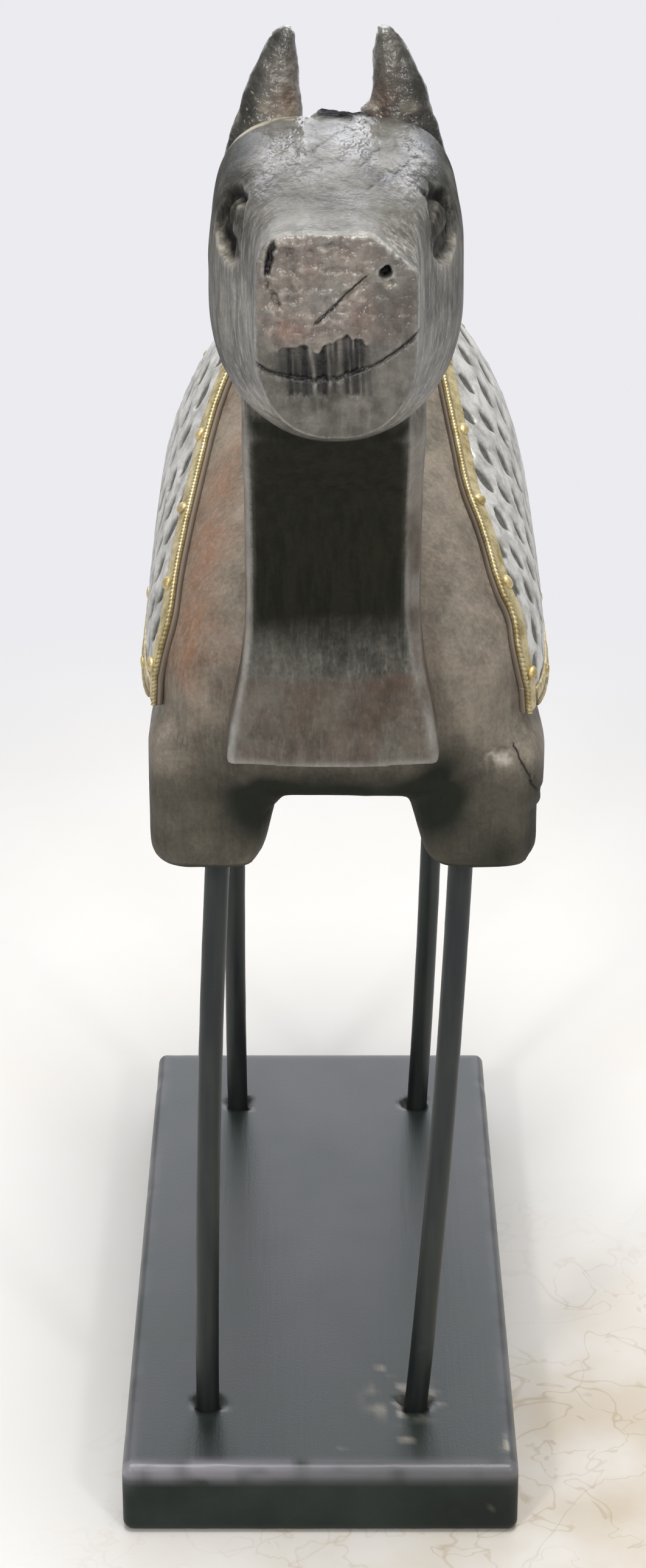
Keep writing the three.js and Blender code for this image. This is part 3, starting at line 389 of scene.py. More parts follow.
def raw_mesh(name, points, faces):
    """A Blender mesh with these points, in millimetres, and faces of any count of corners."""
    mesh = bpy.data.meshes.new(name)
    mesh.vertices.add(len(points))
    mesh.vertices.foreach_set("co", (points * MM).astype(np.float32).ravel())
    corners = np.concatenate([face.ravel() for face in faces]).astype(np.int32)
    counts = np.concatenate([np.full(len(face), face.shape[1]) for face in faces])
    mesh.loops.add(len(corners))
    mesh.loops.foreach_set("vertex_index", corners)
    mesh.polygons.add(len(counts))
    mesh.polygons.foreach_set("loop_start", (np.cumsum(counts) - counts).astype(np.int32))
    mesh.polygons.foreach_set("use_smooth", np.ones(len(counts), bool))
    mesh.update(calc_edges=True)
    mesh.validate()
    return mesh


def skin(shells, voxel, stretch=None):
    """One skin of quads round overlapping closed shells, by a voxel remesh. A stretch is a pair of functions
    that enlarge the space before the remesh and shrink it again after, for finer quads where it is larger."""
    points, faces = joined([(points, outward(points, faces)) for points, faces in shells])
    if stretch:
        points = stretch[0](points)
    holder = new_object("skin", raw_mesh("skin", points, faces))
    remesh = holder.modifiers.new("remesh", "REMESH")
    remesh.mode = "VOXEL"
    remesh.voxel_size = voxel * MM
    graph = bpy.context.evaluated_depsgraph_get()
    mesh = bpy.data.meshes.new_from_object(holder.evaluated_get(graph))
    found = np.empty(3 * len(mesh.vertices), np.float32)
    mesh.vertices.foreach_get("co", found)
    corners = np.empty(len(mesh.loops), np.int32)
    mesh.loops.foreach_get("vertex_index", corners)
    old = holder.data
    bpy.data.objects.remove(holder)
    bpy.data.meshes.remove(old)
    bpy.data.meshes.remove(mesh)
    points = found.reshape(-1, 3).astype(float) / MM
    if stretch:
        points = stretch[1](points)
    quads = [corners.reshape(-1, 4).astype(np.int64)]
    return points, outward(points, quads)


def piece(name, points, faces, material, nodes, marks=None):
    """A finished piece: its mesh, its point attributes, its material, and the nodes that it stands for."""
    mesh = raw_mesh(name, points, outward(points, faces))
    for mark, values in (marks or {}).items():
        attribute = mesh.attributes.new(mark, "FLOAT", "POINT")
        attribute.data.foreach_set("value", np.ascontiguousarray(values, np.float32))
    mesh.materials.append(material)
    obj = new_object(name, mesh)
    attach(obj, "root")
    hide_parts(*nodes)


# Materials


def linear(colour):
    """sRGB hex as linear RGBA: v/12.92 for dark values and ((v + 0.055)/1.055)^2.4 for the rest."""
    values = [int(colour[k:k + 2], 16) / 255 for k in (1, 3, 5)]
    return tuple(v / 12.92 if v <= 0.04045 else ((v + 0.055) / 1.055) ** 2.4 for v in values) + (1.0,)


def per_mm(size):
    """Texture scale, in metres, of a pattern that repeats about every size millimetres."""
    return 1 / (size * MM)


def rgba(value):
    """Linear RGBA of a hex string, a grey level or a colour setting."""
    if isinstance(value, str):
        return linear(value)
    return (value, value, value, 1.0) if isinstance(value, float) else (*value, 1.0)


def feed(tree, node, inputs):
    """Fills named inputs of a node with values or links. A node stands for its first output in use."""
    for name, value in inputs.items():
        if isinstance(value, bpy.types.Node):
            value = next(output for output in value.outputs if output.enabled)
        if isinstance(value, bpy.types.NodeSocket):
            tree.links.new(value, node.inputs[name])
        else:
            node.inputs[name].default_value = value


def add(tree, kind, inputs=None, stops=None, **settings):
    """Adds a node, sets its settings, feeds its inputs and sets its ramp's two stops."""
    node = tree.nodes.new("ShaderNode" + kind)
    for name, value in settings.items():
        setattr(node, name, value)
    feed(tree, node, inputs or {})
    if stops:
        for stop, (place, value) in zip(node.color_ramp.elements, stops):
            stop.position = place
            stop.color = rgba(value)
    return node


def new_material(name, *marks):
    """A new node material with its tree, its shader, its place in Object coordinates, and the piece's marks
    by name."""
    material = bpy.data.materials.new(name)
    material.use_nodes = True
    tree = material.node_tree
    tree.nodes.clear()
    shader = add(tree, "BsdfPrincipled")
    add(tree, "OutputMaterial", {"Surface": shader})
    place = add(tree, "TexCoord").outputs["Object"]
    found = {mark: add(tree, "Attribute", attribute_name=mark).outputs["Fac"] for mark in marks}
    return material, tree, shader, place, found


def old_wood(name, colours, gloss, streaks):
    """Old hardwood, carved by hand and waxed: streaks along the grain, blotches of red, dark stain that also
    paints shade, pale rubbed edges and fine pale scratches, dirt in the hollows, and a gloss that breaks up
    on the pores.
    Polished parts are dented and wear a coat of wax. Real pores and fibres are too fine to show in the
    render, so they are drawn as coarse as they need to be."""
    material, tree, shader, place, marks = new_material(name, *WOOD_MARKS)
    along = add(tree, "Mapping", {"Vector": place, "Scale": GRAIN_DRAWN})
    drawn = add(tree, "Mapping", {"Vector": place, "Scale": DENTS_DRAWN})
    patterns = (
        (along, 2.2, 5.0, 0.7), (along, 1.2, 3.0, 0.7), (place, 12, 6.0, 0.68), (place, 0.9, 2.0, 0.5),
        (drawn, 2.2, 2.0, 0.5),
    )
    streak, hair, blotch, speck, dent = (
        add(tree, "TexNoise", {"Vector": vector, "Scale": per_mm(size), "Detail": detail, "Roughness": rough})
        for vector, size, detail, rough in patterns
    )
    red_spot = add(tree, "TexNoise", {"Vector": place, "Scale": per_mm(9), "Detail": 6.0, "Roughness": 0.7,
                                      "W": 3.0}, noise_dimensions="4D")
    redness = add(tree, "Math", {0: red_spot, 1: marks["red"]}, operation="MULTIPLY")
    redness = add(tree, "MapRange", {"Value": redness, "From Min": 0.2, "From Max": 0.6, "To Max": 0.8})
    scratch = add(tree, "MapRange", {"Value": hair, "From Min": 0.5, "From Max": 0.66, "To Max": 0.75})
    scratch = add(tree, "Math", {0: scratch, 1: marks["grain"]}, operation="MULTIPLY")
    jagged = add(tree, "Math", {0: speck, 1: 0.5, 2: marks["cut_across"]}, operation="MULTIPLY_ADD")
    apart = add(tree, "Math", {0: jagged, 1: 0.25}, operation="SUBTRACT")
    apart = add(tree, "Math", {0: apart}, operation="ABSOLUTE")
    line = add(tree, "MapRange", {"Value": apart, "From Min": 0.1, "From Max": 0.3, "To Min": 0.92,
                                  "To Max": 0.0})
    line = add(tree, "Math", {0: line, 1: marks["cut_near"]}, operation="MULTIPLY")
    layers = (
        (redness, "red"), (scratch, "rubbed"), (marks["stain_and_shade"], "stain_and_shade"), (marks["wear"], "rubbed"),
        (marks["grime"], "dirt"), (marks["chalk"], "bare"), (marks["pitch"], "pitch"), (line, "dirt"),
    )
    colour = add(tree, "ValToRGB", {"Fac": blotch}, stops=((0.36, colours["dark"]), (0.62, colours["mid"])))
    for share, tone in layers:
        colour = add(tree, "Mix", {0: share, 6: colour, 7: linear(colours[tone])}, data_type="RGBA")
    for pattern, mark, most in ((streak, "grain", streaks), (speck, "grain", 0.35), (dent, "dents", 0.6)):
        depth = add(tree, "Math", {0: marks[mark], 1: most}, operation="MULTIPLY")
        shade = add(tree, "ValToRGB", {"Fac": pattern}, stops=((0.4, 0.2), (0.58, 1.0)))
        colour = add(tree, "Mix", {0: depth, 6: colour, 7: shade}, data_type="RGBA", blend_type="MULTIPLY")
    rough = add(tree, "MapRange", {"Value": speck, "From Min": 0.3, "From Max": 0.7, "To Min": gloss - 0.1,
                                   "To Max": gloss + 0.14})
    dull = add(tree, "Math", {0: marks["pitch"], 1: marks["stain_and_shade"]}, operation="MAXIMUM")
    for share, change in ((dull, 0.28), (marks["polish"], -0.12)):
        rough = add(tree, "Math", {0: share, 1: change, 2: rough}, operation="MULTIPLY_ADD")
    hammer = add(tree, "Bump", {"Height": dent, "Strength": marks["dents"], "Distance": 2.2 * MM})
    pores = add(tree, "Bump", {"Height": speck, "Strength": 0.5, "Distance": 0.3 * MM, "Normal": hammer})
    fibres = add(tree, "Bump", {"Height": streak, "Strength": marks["grain"], "Distance": 0.2 * MM,
                                "Normal": pores})
    feed(tree, shader, {
        "Base Color": colour, "Roughness": rough, "Normal": fibres, "Coat Weight": marks["polish"],
        "Coat Normal": pores, "Coat Roughness": 0.27, "Specular IOR Level": 0.12,
    })
    return material


def black_paint():
    """Hardwood under brushed black paint: a soft sheen, faint cloudy wear, pale scuffs and rubbed edges, with
    a painted highlight along the front top edge. The brush lines and the grit are drawn coarser than real
    ones, so that they show in the render."""
    material, tree, shader, place, marks = new_material(
        "black_painted_hardwood", "wear", "scuff", "pit", "matte",
    )
    brush = add(tree, "Mapping", {"Vector": place, "Scale": (1.0, 0.05, 1.0)})
    cloud = add(tree, "TexNoise", {"Vector": place, "Scale": per_mm(30), "Detail": 5.0, "Roughness": 0.6})
    stroke = add(tree, "TexNoise", {"Vector": brush, "Scale": per_mm(1.6), "Detail": 3.0})
    speck = add(tree, "TexNoise", {"Vector": place, "Scale": per_mm(0.8), "Detail": 2.0})
    fresh = bpy.context.scene.camel_base.board_colour
    colour = add(tree, "ValToRGB", {"Fac": cloud}, stops=((0.35, "#1c2320"), (0.68, fresh)))
    # The bluish-grey wear tone also paints the highlight on the front top edge.
    for mark, tone in (("wear", "#8f8c92"), ("scuff", "#9a9384"), ("pit", "#2a1c17")):
        colour = add(tree, "Mix", {0: marks[mark], 6: colour, 7: linear(tone)}, data_type="RGBA")
    rough = add(tree, "MapRange", {"Value": cloud, "From Min": 0.3, "From Max": 0.7, "To Min": 0.36,
                                   "To Max": 0.52})
    strokes = add(tree, "Bump", {"Height": stroke, "Strength": 0.25, "Distance": 0.2 * MM})
    grit = add(tree, "Bump", {"Height": speck, "Strength": 0.2, "Distance": 0.15 * MM, "Normal": strokes})
    coat = add(tree, "MapRange", {"Value": marks["matte"], "To Min": 0.58, "To Max": 0.0})
    feed(tree, shader, {
        "Base Color": colour, "Roughness": rough, "Normal": grit, "Coat Normal": grit, "Coat Weight": coat,
        "Coat Roughness": 0.3, "Specular IOR Level": 0.2,
    })
    return material


def blackened_iron():
    """Round iron bar, blackened and lacquered: near black and greenish, faint scale and a satin gloss."""
    material, tree, shader, place, _ = new_material("blackened_iron_bar")
    drawn = add(tree, "Mapping", {"Vector": place, "Scale": (1.0, 1.0, 0.1)})
    scale = add(tree, "TexNoise", {"Vector": drawn, "Scale": per_mm(2.5), "Detail": 4.0})
    rust = add(tree, "TexNoise", {"Vector": place, "Scale": per_mm(9), "Detail": 5.0, "Roughness": 0.7})
    clean = bpy.context.scene.camel_base.rod_colour
    base = add(tree, "ValToRGB", {"Fac": scale}, stops=((0.3, "#23272a"), (0.7, clean)))
    spots = add(tree, "ValToRGB", {"Fac": rust}, stops=((0.62, 0.0), (0.75, 0.55)))
    colour = add(tree, "Mix", {0: spots, 6: base, 7: linear("#4d443c")}, data_type="RGBA")
    rough = add(tree, "MapRange", {"Value": scale, "To Min": 0.34, "To Max": 0.56})
    bump = add(tree, "Bump", {"Height": scale, "Strength": 0.3, "Distance": 0.2 * MM})
    feed(tree, shader, {"Base Color": colour, "Roughness": rough, "Normal": bump, "Metallic": 0.35})
    return material


def white_metal():
    """Thin white metal, embossed and tarnished: pale and mottled on the raised bands, dark grey in the
    leaves."""
    material, tree, shader, place, marks = new_material("embossed_white_metal", "leaf")
    cloud = add(tree, "TexNoise", {"Vector": place, "Scale": per_mm(6), "Detail": 6.0, "Roughness": 0.68})
    speck = add(tree, "TexNoise", {"Vector": place, "Scale": per_mm(1.1), "Detail": 3.0})
    bright = bpy.context.scene.camel_cladding.sheet_colour
    pale = add(tree, "ValToRGB", {"Fac": cloud}, stops=((0.34, "#98968e"), (0.58, bright)))
    tarnish = add(tree, "ValToRGB", {"Fac": speck}, stops=((0.34, "#3f3d37"), (0.68, "#6f6c63")))
    edge = add(tree, "Math", {0: speck, 1: 0.5, 2: marks["leaf"]}, operation="MULTIPLY_ADD")
    dark = add(tree, "MapRange", {"Value": edge, "From Min": 0.4, "From Max": 1.1, "To Max": 0.95})
    colour = add(tree, "Mix", {0: dark, 6: pale, 7: tarnish}, data_type="RGBA")
    rough = add(tree, "MapRange", {"Value": cloud, "To Min": 0.38, "To Max": 0.62})
    bump = add(tree, "Bump", {"Height": speck, "Strength": 0.35, "Distance": 0.3 * MM})
    feed(tree, shader, {"Base Color": colour, "Roughness": rough, "Normal": bump, "Metallic": 0.4})
    return material


def aged_brass(name, bright, dull):
    """Sheet brass, stamped and handled: warm yellow on the rubbed parts, brown tarnish in the stampings,
    which also paints shade under the bead and under the ridge strip, and a dull wood brown, not metal, on the
    wall that faces the wood."""
    material, tree, shader, place, marks = new_material(name, "low", "wall")
    cloud = add(tree, "TexNoise", {"Vector": place, "Scale": per_mm(4), "Detail": 5.0, "Roughness": 0.7})
    colour = add(tree, "ValToRGB", {"Fac": cloud}, stops=((0.36, dull), (0.6, bright)))
    for mark, tone in (("low", "#54472f"), ("wall", "#8f8274")):
        colour = add(tree, "Mix", {0: marks[mark], 6: colour, 7: linear(tone)}, data_type="RGBA")
    rough = add(tree, "MapRange", {"Value": cloud, "To Min": 0.56, "To Max": 0.34})
    metal = add(tree, "MapRange", {"Value": marks["wall"], "To Min": 0.6, "To Max": 0.0})
    feed(tree, shader, {"Base Color": colour, "Roughness": rough, "Metallic": metal})
    return material


def turned_beech():
    """Plain turned beech dowel: pale, with short flecks along its length."""
    material, tree, shader, place, _ = new_material("turned_beech_dowel")
    along = add(tree, "Mapping", {"Vector": place, "Scale": (1.0, 0.1, 1.0)})
    fleck = add(tree, "TexNoise", {"Vector": along, "Scale": per_mm(1.2), "Detail": 3.0})
    tone = add(tree, "ValToRGB", {"Fac": fleck}, stops=((0.3, "#a8835a"), (0.7, "#caa679")))
    feed(tree, shader, {"Base Color": tone, "Roughness": 0.7})
    return material


# Board and rods


def board_shell():
    """Rounded box: each point q of a box's six face grids goes to c + r d/|d|, where c is q held inside the
    box less the edge radius r, and d = q - c."""
    radius = bpy.context.scene.camel_base.edge_radius / MM
    half = BOARD_SIZE / 2
    inner = half - radius
    bend = radius * np.tan(np.linspace(0, math.pi / 4, 6)[1:])
    lines = []
    for reach in inner:
        flat = np.linspace(-reach, reach, max(3, int(2 * reach / BOARD_FACET)))
        lines.append(np.concatenate([-reach - bend[::-1], flat, reach + bend]))
    shells = []
    for axis in range(3):
        u, v = [k for k in range(3) if k != axis]
        for sign in (-1, 1):
            grid = np.zeros((len(lines[u]), len(lines[v]), 3))
            grid[..., u] = lines[u][:, None]
            grid[..., v] = lines[v][None, :]
            grid[..., axis] = sign * half[axis]
            quads = grid_quads(len(lines[u]), len(lines[v]))
            turned = (sign > 0) == (axis != 1)
            shells.append((grid.reshape(-1, 3), [quads[:, ::-1] if turned else quads]))
    box, faces = joined(shells)
    held = np.clip(box, -inner, inner)
    points = held + radius * unit(box - held)
    _, first, number = np.unique(np.round(points, 4), axis=0, return_index=True, return_inverse=True)
    quads = number.ravel()[np.concatenate(faces)]
    return points[first] + np.array([0, 0, half[2]]), [quads]


def foot_places():
    """Where the four rods meet the board: half the track either way, with the given shift of each pair."""
    places = []
    for end, ahead in ENDS.items():
        for side, sign in SIDES.items():
            x = sign * FEET_TRACK / 2 + FEET_SHIFT[end]
            places.append((end, side, sign, x, TORSO_Y + ahead * THIGH_ALONG))
    return places


def make_board():
    """The board with dents along its edges and a chipped pit round each rod, by offsets along its normals,
    and with its scuffs, rubbed edges and a painted highlight on its front top edge as marks."""
    points, faces = board_shell()
    faces = outward(points, faces)
    normals = point_normals(points, faces)
    x, y, z = points.T
    half = BOARD_SIZE / 2
    from_edge = np.sort(np.abs(np.abs(points - np.array([0, 0, half[2]])) - half), axis=1)[:, 1]
    rim = hill(from_edge, 0, 2.6)
    up = smooth(z, half[2], BOARD_SIZE[2])
    dents = np.maximum(0, layered(points, 9.0, 3, 5) - 0.25)
    pit, scuff = np.zeros((2, len(points)))
    top = smooth(z, 19.0, 19.9)
    for end, side, _, foot_x, foot_y in foot_places():
        place = np.stack([x - foot_x, y - foot_y], 1)
        ragged = np.linalg.norm(place, axis=1) - 0.8 * noise(points, 2.2, 11)
        pit = np.maximum(pit, (1 - smooth(ragged, 3.2, 4.1)) * top)
        if (end, side) == ("front", "left"):
            dust = hill(np.linalg.norm(place + DUST_SHIFT, axis=1), 5.5, 4.0)
            scuff = np.maximum(scuff, dust * top * smooth(noise(points, 2.6, 3), 0.05, 0.6))
    for spot_x, spot_y, reach in BOARD_SCUFFS:
        away = np.hypot(x - spot_x, (y - spot_y) * 1.4) + 0.7 * noise(points, 2.0, 9)
        scuff = np.maximum(scuff, 0.8 * (1 - smooth(away, 0.3, reach)) * top)
    nick = np.hypot((x - EDGE_NICK[0]) * 1.6, (y - EDGE_NICK[1]) * 0.45) + 0.5 * noise(points, 2.0, 13)
    scuff = np.maximum(scuff, (1 - smooth(nick, 0.8, 2.0)) * smooth(z, 15, 19))
    face_nick = np.hypot(x - FACE_NICK[0], (z - FACE_NICK[1]) * 2.0) + 0.8 * noise(points, 2.0, 17)
    scuff = np.maximum(scuff, 0.8 * (1 - smooth(face_nick, 0.5, 1.8)) * smooth(-y, 106, 108))
    # The front top edge is pale: rubbed paint with a painted highlight on it, stronger towards the camel's
    # right.
    worn_and_lit_front_edge = hill(y, -half[1] + 1.2, 2.2) * smooth(z, 14.5, 17.5)
    worn_and_lit_front_edge = worn_and_lit_front_edge * lerp(0.55, 1.0, smooth(-x, -20, 40)) * smooth(noise(points, 5, 2), -1.2, 0.1)
    wear = np.maximum(rim * up * smooth(layered(points, 12.0, 3, 21), -0.5, 0.6) * 0.35, worn_and_lit_front_edge)
    marks = {"wear": clamp(wear), "scuff": clamp(scuff), "pit": pit, "matte": 1 - smooth(z, 15, 18)}
    offset = -0.9 * rim * dents * up - 0.12 * up * rim - 1.6 * pit
    points = points + offset[:, None] * normals
    piece("board", points, faces, black_paint(), ["base_board"], marks)


def make_rods():
    """Four round bars along quadratic curves (1-t)^2 a + 2t(1-t) b + t^2 c, with a slight unevenness."""
    material = blackened_iron()
    radius = bpy.context.scene.camel_base.rod_diameter / MM / 2
    turn = full_turn(28)[..., None]
    ring = np.concatenate([np.cos(turn), np.sin(turn), np.zeros_like(turn)], -1)
    t = np.linspace(0, 1, 90)[:, None, None]
    for end, side, sign, foot_x, foot_y in foot_places():
        foot = np.array([foot_x, foot_y, BOARD_SIZE[2]])
        top_x = TORSO_X + sign * THIGH_ACROSS + TOPS_SHIFT[end] - sign * ROD_INSET[end]
        top = np.array([top_x, foot_y, THIGH_Z])
        way = unit(top - foot)
        start = foot - ROD_IN_BOARD * way
        finish = top + ROD_IN_THIGH * way
        control = (start + finish) / 2 + np.array([2 * ROD_BOW * sign, 0, 0])
        path = (1 - t) ** 2 * start + 2 * t * (1 - t) * control + t**2 * finish
        rings = path + radius * ring
        rings = rings + 0.06 * layered(rings, 7.0, 2, 31)[..., None] * ring
        points, faces = loft(rings)
        piece(f"rod_{end}_{side}", points, faces, material, [f"leg_{end}_{side}"])


# Carved body


def torso_section(y):
    """Half width, rise and drop of the torso's section at y: superellipses of the place along the torso, with
    a Gaussian hump on the rise."""
    along = (y - TORSO_Y) / (TORSO_LENGTH / 2)
    hump = HUMP_RISE * hill(y, TORSO_Y, HUMP_SPREAD)
    half = TORSO_WIDTH / 2 * bulge(along, PLAN_POWER)
    rise = (BACK_RISE + hump) * bulge(along, BACK_POWER)
    return half, rise, BELLY_DEPTH * bulge(along, PLAN_POWER)


def barrel():
    """The torso's barrel: at each y a superellipse of one power above its widest level and another below."""
    turn = np.linspace(-1.545, 1.545, 130)[:, None]
    y = TORSO_Y + TORSO_LENGTH / 2 * np.sin(turn)
    half, rise, drop = torso_section(y)
    angle = full_turn(180)
    up = np.cos(angle)
    power = np.where(up > 0, 2 / DORSAL_POWER, 2 / BELLY_POWER)
    x = TORSO_X + half * signed_power(np.sin(angle), power)
    z = WIDEST_Z + np.where(up > 0, rise, drop) * signed_power(up, power)
    return loft(np.stack([x, np.broadcast_to(y, x.shape), z], -1))


def thigh(sign, ahead):
    """A thigh stump: squared ovals stacked upwards, rounded at the foot, leaning in on its inner side, and
    drawn in under the sheet's hem."""
    curve = THIGH_ROUND * (1 - np.cos(np.linspace(0, math.pi / 2, 10)))
    height = np.concatenate([curve, np.linspace(THIGH_ROUND + 1, THIGH_TUCK[0][-1], 34)])[:, None]
    low = np.minimum(height, THIGH_ROUND) / THIGH_ROUND
    round_in = THIGH_ROUND * (1 - np.sqrt(np.maximum(0, 1 - (1 - low) ** 2)))
    tuck = np.interp(height, *THIGH_TUCK)
    angle = full_turn(72)
    across = signed_power(np.cos(angle), THIGH_SQUARE)
    along = signed_power(np.sin(angle), THIGH_SQUARE)
    inner = 3.0 * (1 - smooth(height, 0, 16)) * (sign * across < 0)
    x = TORSO_X + sign * THIGH_ACROSS + (THIGH_HALF_WIDTH - round_in - tuck - inner) * across
    y = TORSO_Y + ahead * THIGH_ALONG + (THIGH_HALF_LENGTH - 0.8 * round_in - tuck) * along
    return loft(np.stack([x, y, np.broadcast_to(THIGH_Z + height, x.shape)], -1))


def tail():
    """The relief tail: a round bar down the rump, thicker at its tuft near the end."""
    down = np.linspace(0, 1, 40)[:, None]
    y = TORSO_Y + TORSO_LENGTH / 2 + 1.5 - 13 * (1 - down) ** 2.6 - 2 * down**2
    radius = TAIL_RADIUS * (0.75 + 0.35 * hill(down, 0.82, 0.12)) * np.sqrt(np.maximum(0.05, 1 - down**14))
    angle = full_turn(32)
    x = TORSO_X + radius * np.cos(angle)
    z = WIDEST_Z + 0.62 * BACK_RISE - TAIL_DROP * down
    return loft(np.stack([x, y + radius * np.sin(angle), np.broadcast_to(z, x.shape)], -1))


def wood_marks(points, faces, edges, wear_from, wear_to):
    """Wear where the surface stands out of its surroundings and grime where it lies under them."""
    sharp = edge_sharpness(points, faces, edges, 4)
    return {"wear": smooth(sharp, wear_from, wear_to), "grime": smooth(-sharp, wear_from, 1.6 * wear_to)}


def make_body():
    """The body: barrel, thighs and tail in one skin, relaxed so that they flow together, with tool marks, a
    split at the left shoulder with a chip at its head, and a step where the split's flake has broken off."""
    wood = bpy.context.scene.camel_wood
    shells = [barrel(), tail()]
    shells += [thigh(sign, ahead) for sign in SIDES.values() for ahead in ENDS.values()]
    points, faces = skin(shells, wood.body_voxel / MM)
    edges = face_edges(faces)
    points = relaxed(points, edges, 12)
    normals = point_normals(points, faces)
    x, y, z = points.T
    front = smooth(-y, 84, 90)
    breast = smooth(-y, 88, 92)
    flat = np.stack([x, z], 1)
    bare = np.maximum(smooth(-y, 80, 92), smooth(205 - z, 0, 6))
    tool = 0.26 * layered(points * np.array([1, 1, 0.6]), 15.0, 3, 40) + 0.1 * noise(points, 3.5, 44)
    chip_place = (flat - SHOULDER_CHIP) * np.array([0.75, 1.1])
    chip = 1 - smooth(np.linalg.norm(chip_place, axis=1) + 1.3 * noise(points, 2.2, 51), 1.4, 2.9)
    chip *= breast
    wander = 0.45 * noise(points, 2.2, 53)
    splits = [across_segment(flat, *ends) + wander for ends in zip(SHOULDER_SPLIT, SHOULDER_SPLIT[1:])]
    split_across, split_near = nearest(splits)
    split_near = split_near * front
    nail = hill(np.hypot(x - SHOULDER_NAIL[0], z - SHOULDER_NAIL[1]), 0, 0.8) * breast
    flake = smooth(x - np.interp(z, *FLAKE_EDGE), -0.3, 0.5) * smooth(-y, 70, 84)
    flake = flake * smooth(z, 197.6, 198.4) * smooth(217 - z, 0, 6)
    broken = smooth(198.4 - z, 0, 0.8) * smooth(normals[:, 0], 0.3, 0.8) * smooth(-y, 62, 76)
    ragged = smooth(noise(points, 2.0, 57), 0.1, 0.7) * hill(x, -8.5, 2.0)
    ragged = ragged * smooth(-y, 90, 96) * smooth(z, 184, 190)
    offset = tool * bare - 0.8 * chip - 0.9 * split_near * hill(split_across, 0, 0.5) - 1.1 * nail
    offset = offset + 0.5 * flake - 0.9 * broken + 0.8 * ragged * (z < 198)
    points = points + offset[:, None] * normals
    marks = wood_marks(points, faces, edges, wear_from=0.05, wear_to=0.3)
    # Painted shade in the stain tone: the lower body, from under the hem down, is darkened.
    under = smooth(214 - z, 0, 12)
    strip_edge = flank(-1, *edge_path(-1, -1, np.linspace(1, 0.3, 200)))
    from_strip = x - np.interp(z, strip_edge[:, 2], strip_edge[:, 0])
    streak = hill(from_strip, 3.5, 3.8) * smooth(z, 222, 240) * smooth(-y, 40, 60) * (x < TORSO_X)
    # Painted shade: a dark band across the belly between the stumps.
    between = hill(z, 203, 10) * smooth(27 - np.abs(x - TORSO_X), -6, 8)
    marks["wear"] = 0.45 * marks["wear"] * (1 - 0.85 * between) * (1 - 0.5 * under)
    marks["grime"] = clamp(0.8 * marks["grime"] + 0.9 * nail)
    warm = 0.3 + 0.08 * smooth(TORSO_X - x, 4, 20) + 0.1 * smooth(z, 216, 240)
    marks["red"] = np.clip(warm + 0.5 * streak - 0.3 * under, 0, 1.3)
    dark = 0.68 + 0.45 * between + 0.2 * layered(points, 14.0, 2, 61)
    # Painted shade on the faces that look down.
    dark = np.maximum(dark, 0.95 * smooth(-normals[:, 2], 0.3, 0.7))
    # Painted shadow of the neck's foot on the breast beside its corners, and painted shade on the camel's
    # left side.
    corner = hill(np.hypot((np.abs(x - NECK_X) - 28) / 8, (z - 213) / 7), 0, 1) * front
    left_side_shade = 0.14 * smooth(x - NECK_X, 12, 24)
    # On the body the stain mark holds painted shade, broken up a little by noise.
    marks["stain_and_shade"] = clamp(np.maximum(under, between) * dark + 0.55 * corner + left_side_shade)
    marks["chalk"] = clamp(chip * smooth(noise(points, 1.8, 63), -0.8, 0.2))
    marks["cut_across"], marks["cut_near"] = split_across, split_near
    even = (("polish", 0.05), ("dents", 0.0), ("grain", 0.5))
    marks.update({mark: np.full(len(points), share) for mark, share in even})
    tones = {**BODY_TONES, "mid": wood.body_colour}
    material = old_wood("waxed_hardwood_body", tones, gloss=0.48, streaks=0.3)
    piece("carved_body", points, faces, material, ["torso"], marks)


# Head and neck


def catmull(table, t):
    """Catmull-Rom curve through the rows of table, at t from 0 to 1, with its end points held."""
    last = len(table) - 1
    place = np.clip(t, 0, 1) * last
    k = np.minimum(np.floor(place).astype(int), last - 1)
    w = (place - k)[..., None]
    a, b = table[np.maximum(k - 1, 0)], table[k]
    c, d = table[k + 1], table[np.minimum(k + 2, last)]
    rise, fall = (c - a) / 2, (d - b) / 2
    return (2 * b - 2 * c + rise + fall) * w**3 + (3 * c - 3 * b - 2 * rise - fall) * w**2 + rise * w + b


def neck_bevels(height):
    """Widths of the two front chamfers at a height over the foot: a narrow one on the camel's right, and on
    its left one that widens upwards."""
    return np.full_like(height, RIGHT_BEVEL), lerp(LEFT_BEVEL_FOOT, LEFT_BEVEL, smooth(height, 4, 34))


def neck_half(height):
    """Half the neck's width: a foot that flares as a Gaussian of the height."""
    return NECK_HALF + NECK_FLARE * hill(height, 0, FLARE_SPREAD)


def neck():
    """The neck: chamfered oblongs stacked upwards. The foot flares and its front edge bows down, the front
    follows a curve of depths, and the nape leans forward."""
    height = np.linspace(0, NECK_HEIGHT + NECK_IN_HEAD, 130)
    share = np.minimum(1, height / NECK_HEIGHT)
    depth = catmull(NECK_DEPTHS, share)[:, 1]
    half = neck_half(height)
    front = SEAT_Y - 0.3 - depth
    back = SEAT_Y - 0.3 - 8 * smooth(share, 0.5, 1)
    right, left = neck_bevels(height)
    nape = NECK_CHAMFER * lerp(0.1, 1, smooth(height, 0.8 * BACK_RISE, 1.2 * BACK_RISE))
    x = np.stack([half, half, half - nape, nape - half, -half, -half, right - half, half - left], 1)
    y = np.stack([front + left, back - nape, back, back, back - nape, front + right, front, front], 1)
    z = np.broadcast_to(NECK_Z + height[:, None], x.shape)
    corners = np.stack([NECK_X + x, y, z], -1)
    steps = 12
    share = (np.arange(steps) / steps)[:, None]
    onward = np.roll(corners, -1, axis=1)
    rings = (corners[:, :, None] + (onward - corners)[:, :, None] * share).reshape(len(height), -1, 3)
    bow = (1 - ((rings[..., 0] - NECK_X) / 26) ** 2) * smooth(-rings[..., 1], 105, 118)
    rings[..., 2] -= 1.1 * bow * (1 - smooth(height, 0, 12))[:, None]
    return loft(rings)


